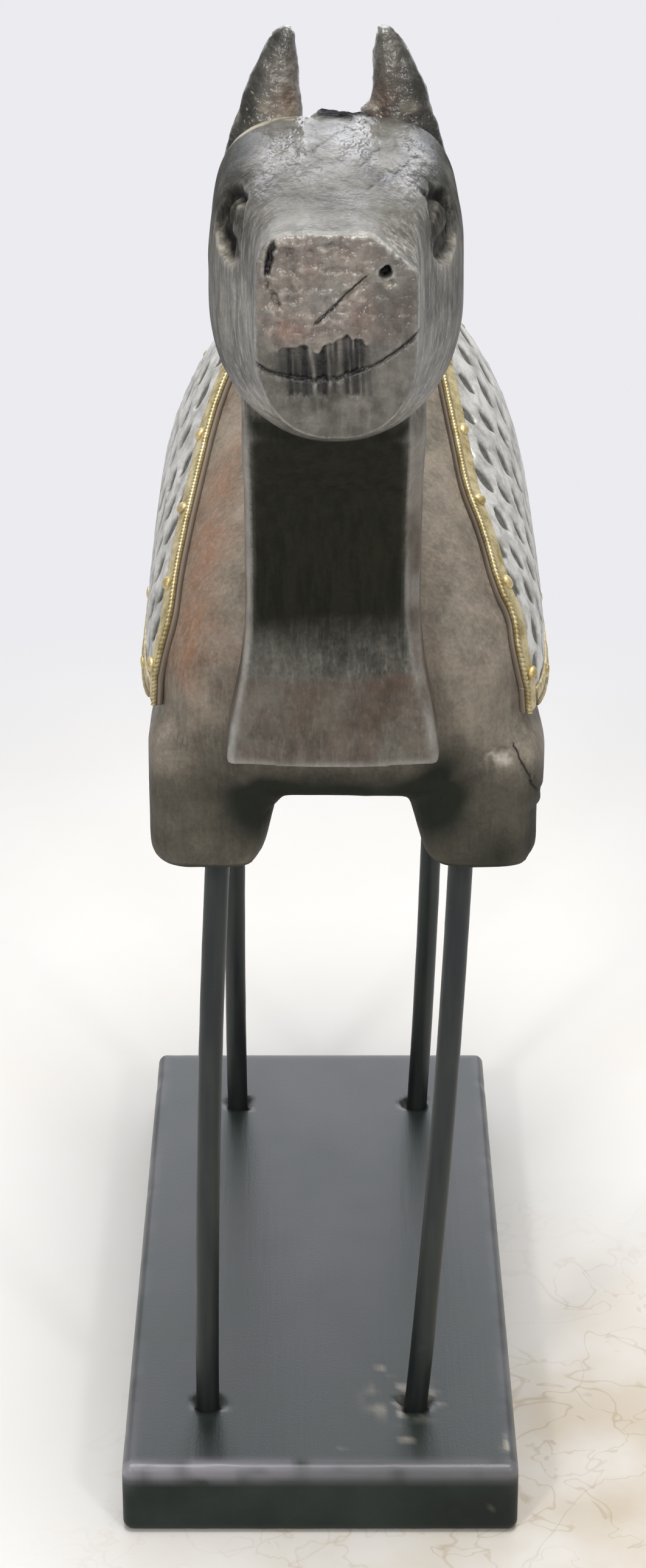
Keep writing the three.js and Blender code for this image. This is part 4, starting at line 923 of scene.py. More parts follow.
def head_section(share):
    """Half width, middle, half height and the two powers of the head's superellipse at a share of its length:
    smooth steps from the cheeks to the muzzle, closed at the poll by a superellipse."""
    poll = np.where(share < 0.3, bulge(1 - share / 0.3, 2.4), 1)
    top = CROWN_Z - MUZZLE_FALL * smooth(share, 0.4, 1.05)
    bottom = lerp(JAW_Z, CHIN_Z, smooth(share, 0.38, 1))
    half = poll * lerp(HEAD_HALF, MUZZLE_HALF, smooth(share, 0.5, 0.9))
    turn = smooth(share, 0.55, 0.95)
    return half, (top + bottom) / 2, poll * (top - bottom) / 2, lerp(3.8, 5.5, turn), lerp(2.05, 2.4, turn)


def head():
    """The head: superellipses along its length, squarer on top towards the muzzle, with a rounded front rim
    and the muzzle's upper corners pared away."""
    turn = np.linspace(0, math.pi / 2, 9)[1:]
    rim = MUZZLE_ROUND / HEAD_LENGTH
    share = np.concatenate([np.linspace(0.006, 1, 120) * (1 - rim), 1 - rim * (1 - np.sin(turn))])
    inset = np.concatenate([np.zeros(120), MUZZLE_ROUND * (1 - np.cos(turn))])[:, None]
    half, middle, tall, top_power, chin_power = (v[:, None] for v in head_section(share))
    angle = full_turn(150)
    up = np.cos(angle)
    power = 2 / np.where(up > 0, top_power, chin_power)
    x = HEAD_X + (half - inset) * signed_power(np.sin(angle), power)
    z = middle + (tall - inset) * signed_power(up, power)
    corner = CROWN_Z - MUZZLE_FALL - np.maximum(0.92 * (x - 8.9), 1.5 * (-8.4 - x))
    over = np.maximum(0, z - np.minimum(corner, CROWN_Z))
    over = np.where(over < 3, over**2 / 6, over - 1.5)
    z = z - smooth(share, 0.78, 1.0)[:, None] * over
    y = np.broadcast_to(POLL_Y - HEAD_LENGTH * share[:, None], x.shape)
    return loft(np.stack([x, y, z], -1))


def muzzle_stretch():
    """A pair of maps that enlarge the muzzle about its axis and back: x and z grow by k(y), and y runs along
    the integral of k, where k climbs from 1 at the cheeks to its full value at the muzzle."""
    table_y = np.linspace(-200, 0, 4001)
    growth = 1 + 0.5 * smooth(-table_y, 136, 168) + 1.1 * smooth(-table_y, 170, 184)
    table_long = np.cumsum(growth) * (table_y[1] - table_y[0])
    table_long = table_long - table_long[-1]
    axis = np.array([HEAD_X, 0.0, MUZZLE_MIDDLE_Z])

    def scaled(points, y, k):
        grown = axis + (points - axis) * k[:, None]
        grown[:, 1] = y
        return grown

    def enlarge(points):
        y = points[:, 1]
        return scaled(points, np.interp(y, table_y, table_long), np.interp(y, table_y, growth))

    def shrink(points):
        y = np.interp(points[:, 1], table_long, table_y)
        return scaled(points, y, 1 / np.interp(y, table_y, growth))

    return enlarge, shrink


def mouth_line(points):
    """Height above the mouth's cut, a parabola across the muzzle that is flatter on the camel's left, carried
    back along its sides."""
    x, y, z = points.T
    back = np.clip(y - (MUZZLE_Y + 2), 0, 20)
    spread = x + 1.2 + 0.5 * np.sign(x - HEAD_X) * back
    return z - (MOUTH_Z + np.where(spread > 0, LEFT_LIP_BEND, RIGHT_LIP_BEND) * spread**2), back


def eye_relief(points):
    """Depth of the carved eyes, and their paler parts: a socket inside a wavering oval, deeper along the brow
    and under the eyeball, with a domed eyeball, slits down it and a chipped lower rim."""
    x, y, z = points.T
    cut, pale = np.zeros((2, len(points)))
    a = (y - EYE_Y) / EYE_HALF_LENGTH
    b = (z - EYE_Z - 0.2 * (y - EYE_Y)) / EYE_HALF_HEIGHT
    ball = 1 - smooth(np.hypot(a / 0.66, (b - 0.22) / 0.55), 0.55, 1.0)
    hollow = 1 - smooth(np.hypot(a / 0.75, (b + 0.5) / 0.5), 0.4, 1.0)
    for sign in SIDES.values():
        near = np.hypot(a, b) + 0.12 * noise(points, 3.2, 70 + sign) + 0.04 * noise(points, 1.2, 72 + sign)
        socket = 1 - smooth(near, 0.84, 1.0)
        brow = hill(near, 0.8, 0.2) * smooth(b + 0.5 * a, 0.0, 0.7)
        slit = np.maximum(0, noise(np.stack([y, 0.15 * z], 1), 1.7, 74 + sign))
        on_side = smooth(sign * (x - HEAD_X), 6, 10)
        grain = 0.35 * noise(points, 1.3, 78 + sign)
        cut = cut + on_side * (socket * (1.2 + 0.6 * hollow - 0.6 * ball + 1.1 * slit + grain) + 0.8 * brow)
        chips = hill(near, 1.0, 0.12) * smooth(-b, 0.35, 0.8) + 0.6 * ball * smooth(b, 0.2, 0.6)
        pale = pale + on_side * chips * smooth(noise(points, 1.4, 76 + sign), -0.3, 0.3)
    return cut, pale


def nose_relief(points, front):
    """Height of the nose plane's wear: pits from layered noise, a splintered chip over the lip cut in
    vertical fibres, a scratch, a drilled nostril and a broken one. With it, its marks by name."""
    x, y, z = points.T
    flat = np.stack([x, z], 1)
    above, _ = mouth_line(points)
    rough = layered(flat * np.array([0.75, 1.1]), 1.3, 2, 80) - 0.4 * np.abs(noise(flat, 2.0, 81))
    pad = smooth(11.5 - x - 0.5 * (344 - z), -2, 2) * smooth(z, 336, 341) * smooth(x, -12, -9)
    pits = 0.7 * rough * smooth(z, 335, 341) * lerp(0.45, 1, pad) + 0.5 * pad
    fibre_x = np.stack([x + 0.05 * z, 0.05 * z], 1)
    fibre = 0.5 * noise(fibre_x, 1.1, 83) + 0.45 * noise(fibre_x, 0.5, 84)
    chip_top = np.interp(x, *LIP_CHIP_TOP) + 0.7 * noise(x[:, None], 0.9, 85)
    sides = smooth(x, -10.0, -6.0) * smooth(-x, -11.5, -7.5)
    chip = smooth(chip_top - z, 0, 0.6) * smooth(above, -0.2, 0.4) * sides
    below = smooth(-above, 0.2, 0.6) * smooth(z + 0.9 * fibre, 327.6, 329.2)
    below = below * smooth(x, -8, -5) * smooth(-x, -12, -9)
    depth = chip * (1.0 + 0.9 * fibre) + 0.6 * below * np.maximum(0, 0.5 + 1.5 * fibre)
    scratch = hill(from_segment(flat, *NOSE_SCRATCH) + 0.12 * noise(flat, 1.5, 90), 0, 0.35)
    drilled = np.hypot(x - NOSTRIL[0], (z - NOSTRIL[1]) * 0.9) + 0.3 * noise(flat, 1.2, 86)
    drilled = 1 - smooth(drilled, 0.7, 1.4)
    dish = 1 - smooth(np.hypot(x - NOSTRIL_DISH[0], (z - NOSTRIL_DISH[1]) * 1.6), 0.5, 1.3)
    ragged = 0.5 * noise(flat, 1.1, 87)
    slit = 1 - smooth(from_segment(flat, *NOSTRIL_SLIT) + ragged, 0.3, 0.9)
    tear = 1 - smooth(from_segment(flat, *NOSTRIL_TEAR) + ragged, 0.15, 0.6)
    cut = depth + 0.8 * scratch + 2.8 * drilled + 0.4 * dish + 1.5 * slit + 0.6 * tear
    splinter = hill(z, chip_top + 0.25, 0.45) * smooth(noise(flat, 0.6, 91), -0.3, 0.4)
    splinter = splinter * smooth(x, -7, -4) * smooth(-x, -7.5, -4) * smooth(above, 0, 1)
    stains = [deep * hill(np.hypot(x - at_x, z - at_z), 0, wide) for deep, at_x, at_z, wide in NOSE_STAINS]
    marks = {
        "fibre": (chip + 0.8 * below) * smooth(fibre, -0.5, 0.3),
        "hole": clamp(drilled + slit + 0.5 * tear),
        "fresh": clamp(dish * (1 - drilled) + 0.8 * tear * smooth(noise(flat, 0.7, 89), 0, 0.5)),
        "ledge": splinter + 0.12 * (chip + below) * smooth(-fibre, 0.15, 0.5),
        "scratch": scratch * smooth(x, 2.5, 5.5),
        "red": sum(stains),
    }
    return front * (pits - cut), {name: front * mark for name, mark in marks.items()}


def make_head():
    """Head and neck in one skin, with the mouth, eyes, nostrils, cracks and tool marks as offsets along its
    normals."""
    wood = bpy.context.scene.camel_wood
    points, faces = skin([neck(), head()], wood.head_voxel / MM, muzzle_stretch())
    edges = face_edges(faces)
    points = relaxed(points, edges, 3)
    normals = point_normals(points, faces)
    x, y, z = points.T
    off_middle = np.abs(x - HEAD_X)
    front = smooth(-y, -MUZZLE_Y - 3.0, -MUZZLE_Y - 0.8) * smooth(-normals[:, 1], 0.6, 0.9)
    on_head = smooth(z, 300, 312)
    high = smooth(z, 334, 340)
    broad = 0.2 * layered(points, 14.0, 2, 90) + 0.06 * noise(points, 4.0, 92)
    above, back = mouth_line(points)
    mouth = hill(above, 0, 0.42) * smooth(10 - back, 0, 6) * smooth(-y, 168, 176)
    eyes, eye_pale = eye_relief(points)
    nose, nose_marks = nose_relief(points, front)
    crown = smooth(z, 357, 361) * smooth(normals[:, 2], 0.4, 0.7)

    # Cracks, and the crumbling patch between the ears
    plan = np.stack([x, y], 1)
    wander = 0.5 * noise(points, 3.0, 95)
    cuts = [0.6 * (across_segment(plan, *ends) + wander) for ends in CROWN_CRACKS]
    cuts = [np.where(crown > 0.5, cut, NO_CUT) for cut in cuts]
    lip = (back < 8) & (y < -168)
    gouge = 0.9 * (across_segment(np.stack([x, z], 1), *NOSE_SCRATCH) + 0.7 * wander)
    cuts += [np.where(lip, above, NO_CUT), np.where(front > 0.5, gouge, NO_CUT)]
    crack_across, crack_near = nearest(cuts)
    crack_near = crack_near * np.maximum(lip, smooth(noise(points, 4.0, 96), -0.6, 0.1))
    cracks = crack_near * hill(crack_across, 0, 0.35) * crown
    broad = broad + 0.07 * crown * layered(points * np.array([1, 0.3, 1]), 2.0, 2, 93)
    relief = broad * (1 - front) - 0.7 * mouth - eyes + nose - 0.2 * cracks
    patch = np.hypot((x - PATCH_PLACE[0]) / 6.2, (y - PATCH_PLACE[1]) / 7.5) + 0.25 * noise(points, 3.0, 97)
    patch = (1 - smooth(patch, 0.7, 1.0)) * smooth(z, 359, 363)
    crumbs = 0.6 + 1.0 * np.maximum(0, noise(points, 1.6, 98)) + 0.4 * noise(points, 0.8, 99)
    relief = relief + patch * crumbs

    # The neck's front panel, and the tide line across it
    right, left = neck_bevels(z - NECK_Z)
    half = neck_half(z - NECK_Z)
    breast = smooth(-y, 98, 103) * (1 - on_head)
    panel = smooth(x - NECK_X + half - right, -0.2, 0.6) * smooth(NECK_X + half - left - x, -0.2, 0.6)
    panel = panel * smooth(-normals[:, 1] - 0.5 * normals[:, 2], 0.3, 0.6) * breast
    tide_height = TIDE_Z + 1.4 * noise(x[:, None], 9.0, 101) + 0.35 * noise(x[:, None], 2.5, 102)
    tide = smooth(z, tide_height - 0.8, tide_height + 1.6) * panel
    crust = 0.12 * hill(z, tide_height + 4.0, 5.0) * layered(points, 2.4, 2, 103)
    relief = relief + tide * (crust + 0.2 * hill(z, tide_height + 0.6, 0.9))
    points = points + relief[:, None] * normals

    # Wear, dirt, stain, painted shade and wax
    marks = wood_marks(points, faces, edges, wear_from=0.025, wear_to=0.2)
    rim = smooth(-y, -MUZZLE_Y - 2.4, -MUZZLE_Y - 0.9) * (1 - front) * smooth(z, 318, 322)
    neck_edge = (1 - panel) * smooth(-normals[:, 1], 0.35, 0.6) * breast
    neck_edge = neck_edge * smooth(noise(points, 6, 107), -0.9, 0.3)
    # Painted shade: the head darkens towards its temples, its sides behind the muzzle and the back of its
    # crown, where the light falls off.
    shaded_temples = smooth(off_middle, 13, 23) * smooth(z, 346, 356)
    carved = 0.35 * smooth(eyes, 0.3, 0.95) + 0.6 * smooth(eyes, 1.3, 2.1)
    sides = smooth(off_middle, 16, 26) * smooth(y, -164, -138)
    # This mix holds that painted shade with a darker patina over the crown, on the camel's left part of the
    # nose plane and below the mouth.
    patina_and_shade = np.maximum(0.7 * sides, shaded_temples) + crown * (0.55 + 0.25 * smooth(y, -142, -116))
    patina_and_shade = patina_and_shade + front * (0.4 * high * smooth(x, 7, 14) + 0.35 * (1 - high))
    patina_and_shade = patina_and_shade * (1 + 0.5 * layered(points, 9.0, 3, 109)) * on_head
    # Painted shade under the chin: on the neck's front panel and the faces under the chin that look down, the
    # stain above the tide line grows darker towards the chin, where the head's shadow falls.
    soaked_and_shaded = tide * (0.92 + 0.06 * noise(points, 7.0, 105)) - 0.95 * smooth(268 - z, 0, 34) * tide
    ear_base = np.hypot((off_middle - 17) / 12, (y - EAR_Y + 6) / 10) + 0.2 * noise(points, 3, 104)
    ear_base = (1 - smooth(ear_base, 0.75, 1.1)) * smooth(z, 350, 356) * smooth(HEAD_X - x, -8, 8)
    waxed = 0.4 + 0.6 * smooth(layered(points * np.array([1, 0.4, 1]), 7.0, 3, 108), -0.35, 0.35)
    ridge = crown * waxed * lerp(0.45, 1, smooth(y, -172, -152)) * (1 - 0.75 * smooth(off_middle, 13, 22))
    worn = marks["wear"] * lerp(0.4, 0.7 - 0.6 * shaded_temples, on_head)
    marks["wear"] = clamp(worn + 0.45 * rim + 0.08 * front * high + 0.25 * neck_edge)
    dirt = 0.8 * marks["grime"] + 0.5 * mouth + 0.85 * carved
    marks["grime"] = clamp(dirt + nose_marks["hole"] + 0.95 * nose_marks["fibre"])
    # The stain mark here mixes the tide's real stain with painted shade: the head's shadow over the whole
    # neck and on its panel, and the darker sides, temples and back of the crown.
    marks["stain_and_shade"] = clamp(soaked_and_shaded + 0.48 * (1 - on_head) + 0.85 * patina_and_shade + 0.2 * carved)
    warm = 0.45 * front * high + 0.5 * (1 - on_head) * (1 - tide) + 0.18
    marks["red"] = np.clip(nose_marks["red"] + warm, 0, 1.2)
    marks["grain"] = lerp(0.3 + 0.35 * tide, 1 - 0.8 * front - 0.75 * crown, on_head)
    bare = 0.85 * (ear_base + nose_marks["fresh"]) + 0.6 * nose_marks["ledge"]
    marks["chalk"] = clamp(bare + 0.5 * nose_marks["scratch"] + 0.5 * eye_pale)
    marks["pitch"] = patch
    polish = lerp(0.3, 0.75, high) * front + ridge + 0.1 * on_head * (1 - shaded_temples)
    marks["polish"] = clamp(polish) * (1 - patch)
    marks["dents"] = clamp(lerp(0.4, 0.55, high) * front + 0.85 * ridge) * (1 - patch)
    marks["cut_across"], marks["cut_near"] = crack_across, crack_near
    tones = {**HEAD_TONES, "mid": wood.head_colour}
    material = old_wood("handled_hardwood_head", tones, gloss=0.42, streaks=0.6)
    piece("carved_head", points, faces, material, ["neck_and_head"], marks)
    return material


def make_ears(material):
    """Two leaf-shaped ears: ovals stacked upwards between an inner and an outer edge line, with a ridge down
    the front, closed by a blunt tip that is broader on the camel's left, and hammered by layered noise."""
    tip = EAR_TIP_Z + 1.2 * np.sin(np.linspace(0.1, 1.5, 9))
    level = np.concatenate([np.linspace(EAR_LEVELS[0], EAR_TIP_Z, 76), tip])[:, None]
    blunt = np.sqrt(np.maximum(0.02, 1 - (np.maximum(0, level - EAR_TIP_Z) / 1.22) ** 2))
    inner, outer = (np.interp(level, EAR_LEVELS, line) for line in (EAR_INNER, EAR_OUTER))
    up = clamp((level - 354) / 28)
    thick = 5.2 * (1 - 0.55 * up**2) * lerp(0.45, 1, blunt)
    angle = full_turn(72)
    across = signed_power(np.cos(angle), 0.9)
    deep = signed_power(np.sin(angle), 0.8)
    ridge = np.where(deep < 0, 1.1 - 0.35 * np.abs(across + 0.35), 1)
    for side, sign in SIDES.items():
        half = np.maximum((outer - inner) / 2, EAR_TIP_HALF[side]) * lerp(0.55, 1, blunt)
        lump = 2.0 * hill(level, 364.6, 1.5) * (sign > 0)
        x = (inner + outer) / 2 + half * across - lump * smooth(-across, 0.5, 0.95)
        y = EAR_Y + thick * deep * ridge + 1.5 * up
        points, faces = loft(np.stack([HEAD_X + sign * x, y, np.broadcast_to(level, x.shape)], -1))
        faces = outward(points, faces)
        hammered = 0.45 * layered(points, 5.0, 3, 110 + sign) - 0.3 * np.abs(noise(points, 2.8, 118 + sign))
        rough = hammered + 0.06 * noise(points, 0.9, 114) + 0.1
        points = points + rough[:, None] * point_normals(points, faces)
        away, height = points[:, 0] - HEAD_X, points[:, 2]
        marks = wood_marks(points, faces, face_edges(faces), wear_from=0.03, wear_to=0.25)
        marks["wear"] = 0.5 * marks["wear"]
        marks["grime"] = clamp(marks["grime"] + 0.26 + 0.2 * noise(points, 4, 119))
        marks["red"] = 0.4 + 0.45 * hill(away - sign * 10.0, 0, 3.0) * hill(height, 367, 4.5)
        near, far = (np.interp(height, EAR_LEVELS, line) for line in (EAR_INNER, EAR_OUTER))
        out = smooth((np.abs(away) - near) / (far - near), 0.5, 0.9)
        low = smooth(362 - height, -3, 6)
        # The stain mark on the ears is darker towards the bottom and towards the outer edge, with a random
        # spread.
        marks["stain_and_shade"] = np.clip(0.15 + 0.25 * noise(points, 5, 115) + 0.35 * low + 0.6 * out, 0, 0.9)
        marks["chalk"] = 0.4 * smooth(noise(points, 3.0, 116), 0.1, 0.7) * hill(height, 364, 3.0)
        even = (("polish", 1.0), ("dents", 0.45), ("grain", 0.3))
        marks.update({mark: np.full(len(points), share) for mark, share in even})
        piece(f"ear_leaf_{side}", points, faces, material, [f"ear_{side}"], marks)


# Cladding


def flank(side, y, down):
    """A point on the torso's side. From 0 to 1, down runs round the superellipse from ridge to widest level,
    and beyond 1 it drops by the chart's unit along the lower superellipse."""
    half, rise, drop = torso_section(y)
    angle = clamp(down) * math.pi / 2
    below = np.maximum(down - 1, 0) * CHART_UNIT
    upper_x = half * np.sin(angle) ** (2 / DORSAL_POWER)
    upper_z = rise * np.maximum(0, np.cos(angle)) ** (2 / DORSAL_POWER)
    lower_x = half * bulge(below / np.maximum(drop, 1e-6), BELLY_POWER)
    x = TORSO_X + side * np.where(down <= 1, upper_x, lower_x)
    z = WIDEST_Z + np.where(down <= 1, upper_z, -below)
    return np.stack(np.broadcast_arrays(x, y, z), -1)


def flank_frame(side, y, down):
    """Tangents along and down the flank, from small differences, and the outward unit normal."""
    spot = np.maximum(down, 0.003)
    along = (flank(side, y + 0.1, spot) - flank(side, y - 0.1, spot)) / 0.2
    downward = (flank(side, y, spot + 0.002) - flank(side, y, spot - 0.002)) / 0.004
    return along, downward, unit(-side * np.cross(along, downward))


def edge_path(side, ahead, t):
    """A sheet's front or rear edge as (y, down) at t from the ridge to the hem: a Catmull-Rom curve of
    shares, with the left front edge skewed ahead of the right one beside the neck."""
    share = catmull(EDGE_SHARES, t)
    down = share[..., 1]
    lead = smooth(down, 0.243, 0.393) * lerp(1, 0.12, smooth(down, 0.393, 0.674))
    skew = -side * EDGE_SKEW * lead if ahead < 0 else 0
    y = TORSO_Y + ahead * share[..., 0] * TORSO_LENGTH / 2 + skew
    return y, lerp(RIDGE, HEM, clamp(down))


def hem_path(side, t):
    """The hem as (y, down): straight along the torso between the end strips."""
    start = edge_path(side, -1, np.array(1.0))[0] + STRIP_WIDTH + 0.3
    end = edge_path(side, 1, np.array(1.0))[0] - STRIP_WIDTH - 0.3
    return lerp(start, end, t), np.full_like(t, HEM)


def strip_paths():
    """The sheets' front, rear and lower edges by name, each with its side and its path."""
    paths = {}
    for name, side in SIDES.items():
        for end, ahead in ENDS.items():
            paths[f"{end}_{name}"] = (side, partial(edge_path, side, ahead))
        paths[f"lower_{name}"] = (side, partial(hem_path, side))
    return paths


def even_places(side, path, distances):
    """Parameters of a path at given distances along it on the flank, by its cumulative chord length, and the
    distances themselves, which are a function of the whole length."""
    fine = np.linspace(0, 1, 600)
    points = flank(side, *path(fine))
    reached = np.concatenate([[0], np.cumsum(np.linalg.norm(np.diff(points, axis=0), axis=1))])
    wanted = distances(reached[-1])
    return np.interp(wanted, reached, fine), wanted


def step_inward(side, path, t, across):
    """The (y, down) that lies a distance square to the path, into the sheet: the inward vector is resolved on
    the flank's two tangents."""
    y, down = path(t)
    way = flank(side, *path(np.minimum(1, t + 0.01))) - flank(side, *path(np.maximum(0, t - 0.01)))
    along, downward, normal = flank_frame(side, y, down)
    inward = unit(np.cross(way, normal))
    to_middle = flank(side, np.full_like(y, TORSO_Y), np.full_like(y, 0.7)) - flank(side, y, down)
    inward = inward * np.sign((inward * to_middle).sum(-1, keepdims=True)) * across[..., None]
    aa, ab, bb = (along**2).sum(-1), (along * downward).sum(-1), (downward**2).sum(-1)
    va, vb = (along * inward).sum(-1), (downward * inward).sum(-1)
    scale = aa * bb - ab * ab
    return y + (va * bb - vb * ab) / scale, np.maximum(RIDGE, down + (aa * vb - ab * va) / scale)


def flank_rise(side):
    """Lines of y and of down, and a table over them of the distance up the flank from the hem, by its
    chords."""
    y = np.linspace(TORSO_Y - 98, TORSO_Y + 98, 120)
    down = np.linspace(HEM, RIDGE, 160)
    points = flank(side, y[:, None], down[None, :])
    step = np.linalg.norm(np.diff(points, axis=1), axis=2)
    return y, down, np.concatenate([np.zeros((len(y), 1)), np.cumsum(step, axis=1)], axis=1)


def leaf_pattern(side, y, down):
    """Depth of the stamped leaves, from 0 to 1, and height of the bands between their rows. Rows are counted
    up the flank from the hem, a pitch apart and wavering, and in each row pointed ovals, of half width
    w (1 - (b/l)^2), stand a spacing apart, every other row shifted by half of it."""
    cladding = bpy.context.scene.camel_cladding
    reach = 0.97 * TORSO_LENGTH / 2
    spacing = 2 * reach / round(2 * reach * MM / cladding.leaf_spacing)
    y_line, down_line, rise = flank_rise(side)
    row_y = (y - y_line[0]) / (y_line[1] - y_line[0])
    height = table_value(rise, row_y, (down - down_line[0]) / (down_line[1] - down_line[0]))
    whole = table_value(rise, row_y, np.full_like(y, len(down_line) - 1.0))
    pitch = np.minimum(cladding.row_pitch / MM, whole / (LEAF_ROWS + 0.5))
    row_place = height / pitch + 0.08 * noise(np.stack([y, height], -1), 15.0, 120 + side)
    row = np.floor(row_place)
    drift = 0.07 * noise(np.stack([y, row * 40.0], -1), 13.0, 123)
    place = (y - TORSO_Y + reach) / spacing + 0.5 * (row % 2) + drift
    column = np.floor(place)
    chance = lattice(np.stack([row, column], -1), 130 + side)
    other = lattice(np.stack([column, row], -1), 140 + side)
    b = (row_place - row - 0.5) * pitch - 0.9 * (other - 0.5)
    a = (place - column - 0.5) * spacing - 1.6 * (chance - 0.5) - 0.35 * b * (other - 0.4)
    a = a + 0.35 * noise(np.stack([y, height], -1), 2.5, 125)
    long = cladding.leaf_length / MM / 2 * (0.82 + 0.3 * chance)
    wide = cladding.leaf_width / MM / 2 * (0.68 + 0.36 * other)
    reach = wide * np.maximum(0.02, 1 - (np.abs(b) / long) ** 2)
    inside = (1 - np.abs(a) / reach) * (np.abs(b) < long)
    leaf = smooth(inside, 0, 0.55)
    band = hill(np.abs(row_place - row - 0.5), 0.5, 0.1)
    return leaf, band


def make_sheets():
    """Two embossed sheets: a grid between the front and rear edge paths, raised off the wood along its
    normals by the leaves, the bands and a slight crumple, and closed underneath by a plain grid."""
    material = white_metal()
    depth = bpy.context.scene.camel_cladding.leaf_depth / MM
    u = np.linspace(0, 1, 230)[None, :]
    rim = np.minimum(np.minimum(u, 1 - u) * 170, 6)
    for name, side in SIDES.items():
        t, _ = even_places(side, partial(edge_path, side, -1), lambda whole: np.linspace(0, whole, 190))
        front_y, down = edge_path(side, -1, t[:, None])
        rear_y, _ = edge_path(side, 1, t[:, None])
        y = lerp(front_y, rear_y, u)
        down = np.broadcast_to(down, y.shape)
        base = flank(side, y, down)
        normal = flank_frame(side, y, down)[2]
        leaf, band = leaf_pattern(side, y, down)
        crumple = CRUMPLE_HEIGHT * layered(base, 11.0, 3, 150)
        height = SHEET_LIFT + BAND_HEIGHT * band - depth * leaf + crumple * smooth(rim, 1, 5)
        points, faces = slab(base + height[..., None] * normal, base + 0.1 * normal)
        marks = {"leaf": np.concatenate([leaf.ravel(), np.zeros(leaf.size)])}
        nodes = [f"flank_sheet_{name}"]
        piece(f"embossed_sheet_{name}", points, faces, material, nodes, marks)


def strip_profile():
    """Section of a strip as (across, height, bead angle): a wall up from the wood, a round bead, a slightly
    domed flat, and the underside. The angle is the place round the bead, and elsewhere a value above it."""
    turn = np.linspace(math.pi * 1.15, math.pi * 0.12, 11)
    bead_across, bead_up = 0.5 + BEAD_RADIUS * np.cos(turn), 0.5 + BEAD_RADIUS * np.sin(turn)
    bead = np.stack([bead_across, STRIP_LIFT + bead_up, turn], 1)
    across = np.linspace(1.25, STRIP_WIDTH - 0.2, 10)
    domed = STRIP_LIFT + 0.55 + 0.12 * np.sin((across - 1.2) / 3.2 * math.pi)
    face = np.stack([across, domed, np.full(10, OFF_BEAD)], 1)
    wall = np.array([[-0.02, height, OFF_BEAD] for height in (0.1, 1.3, STRIP_LIFT - 0.1)])
    places = ((STRIP_WIDTH, STRIP_LIFT + 0.3), (STRIP_WIDTH, 1.2), (2.5, 0.8))
    under = np.array([[*place, OFF_BEAD] for place in places])
    return np.concatenate([wall, bead, face, under])


def strip_shell(side, path):
    """A strip: its section carried along the path on the flank, with the bead twisted like rope and the flat
    part stamped with fine ticks."""
    pitch = bpy.context.scene.camel_cladding.rope_pitch / MM
    t, gone = even_places(side, path, lambda whole: np.linspace(0, whole, int(whole / STRIP_STEP)))
    t, gone = t[:, None], gone[:, None]
    across, height, turn = strip_profile().T[:, None, :]
    on_bead = turn < OFF_BEAD
    rope = np.where(on_bead, np.cos(2 * math.pi * gone / pitch + turn), 0)
    ticks = np.where(~on_bead & (height > STRIP_LIFT + 0.4), np.cos(2 * math.pi * gone / (0.8 * pitch)), 0)
    lift = height + 0.13 * rope * np.sin(np.clip(turn, 0, math.pi)) + 0.06 * ticks * hill(across, 3.9, 0.5)
    y, down = step_inward(side, path, *(np.broadcast_to(values, lift.shape) for values in (t, across)))
    base = flank(side, y, down)
    wobble = 0.1 * layered(base, 6.0, 2, 160)
    points = base + (lift + wobble * (height > 0.5))[..., None] * flank_frame(side, y, down)[2]
    # Tarnish in the rope's hollows and the crease behind the bead, and painted shade: a dark line along the
    # top of the wall, under the bead.
    low = clamp(smooth(-rope, 0.1, 1.0) * 0.6 + hill(across, 1.2, 0.2) * 0.9 + (height < STRIP_LIFT))
    marks = {"low": low, "wall": height < STRIP_LIFT - 0.2}
    for mark, values in marks.items():
        marks[mark] = np.concatenate([np.broadcast_to(values, lift.shape).ravel(), [1, 1]])
    return *loft(points), marks


def ridge_place(y, x):
    """Height of the torso's back at y, a distance x from its ridge, on the upper superellipse."""
    half, rise, _ = torso_section(y)
    return WIDEST_Z + rise * bulge(x / half, DORSAL_POWER)


def ridge_range():
    """The ridge strip's two ends, clear of the edge strips."""
    start = edge_path(1, -1, np.array(0.0))[0] + STRIP_WIDTH + 0.6
    end = edge_path(1, 1, np.array(0.0))[0] - STRIP_WIDTH - 0.6
    return start, end


def make_strips():
    """Seven brass strips: along each sheet's front, rear and lower edges, and one over the ridge, a flat
    superellipse carried along the back with fine ticks across its top."""
    colour = bpy.context.scene.camel_cladding.strip_colour
    material = aged_brass("stamped_brass_strip", colour, "#a08e5e")
    for name, (side, path) in strip_paths().items():
        points, faces, marks = strip_shell(side, path)
        piece(f"brass_{name}", points, faces, material, [name.replace("_", "_strip_")], marks)
    y = np.linspace(*ridge_range(), 60)[:, None]
    turn = full_turn(40)
    x = STRIP_WIDTH / 2 * signed_power(np.cos(turn), 0.35)
    z = ridge_place(y, x) + STRIP_LIFT + 0.9 + 0.45 * signed_power(np.sin(turn), 0.6)
    z = z + 0.06 * np.cos(2 * math.pi * y / 1.2) * (np.sin(turn) > 0.3)
    points, faces = loft(np.stack(np.broadcast_arrays(TORSO_X + x, y, z), -1))
    # Painted shade: the ridge strip's underside takes the dark tarnish tone.
    low = np.concatenate([np.broadcast_to(np.sin(turn) < 0, z.shape).ravel(), [1, 1]]).astype(float)
    piece("brass_ridge", points, faces, material, ["ridge_strip"], {"low": low})


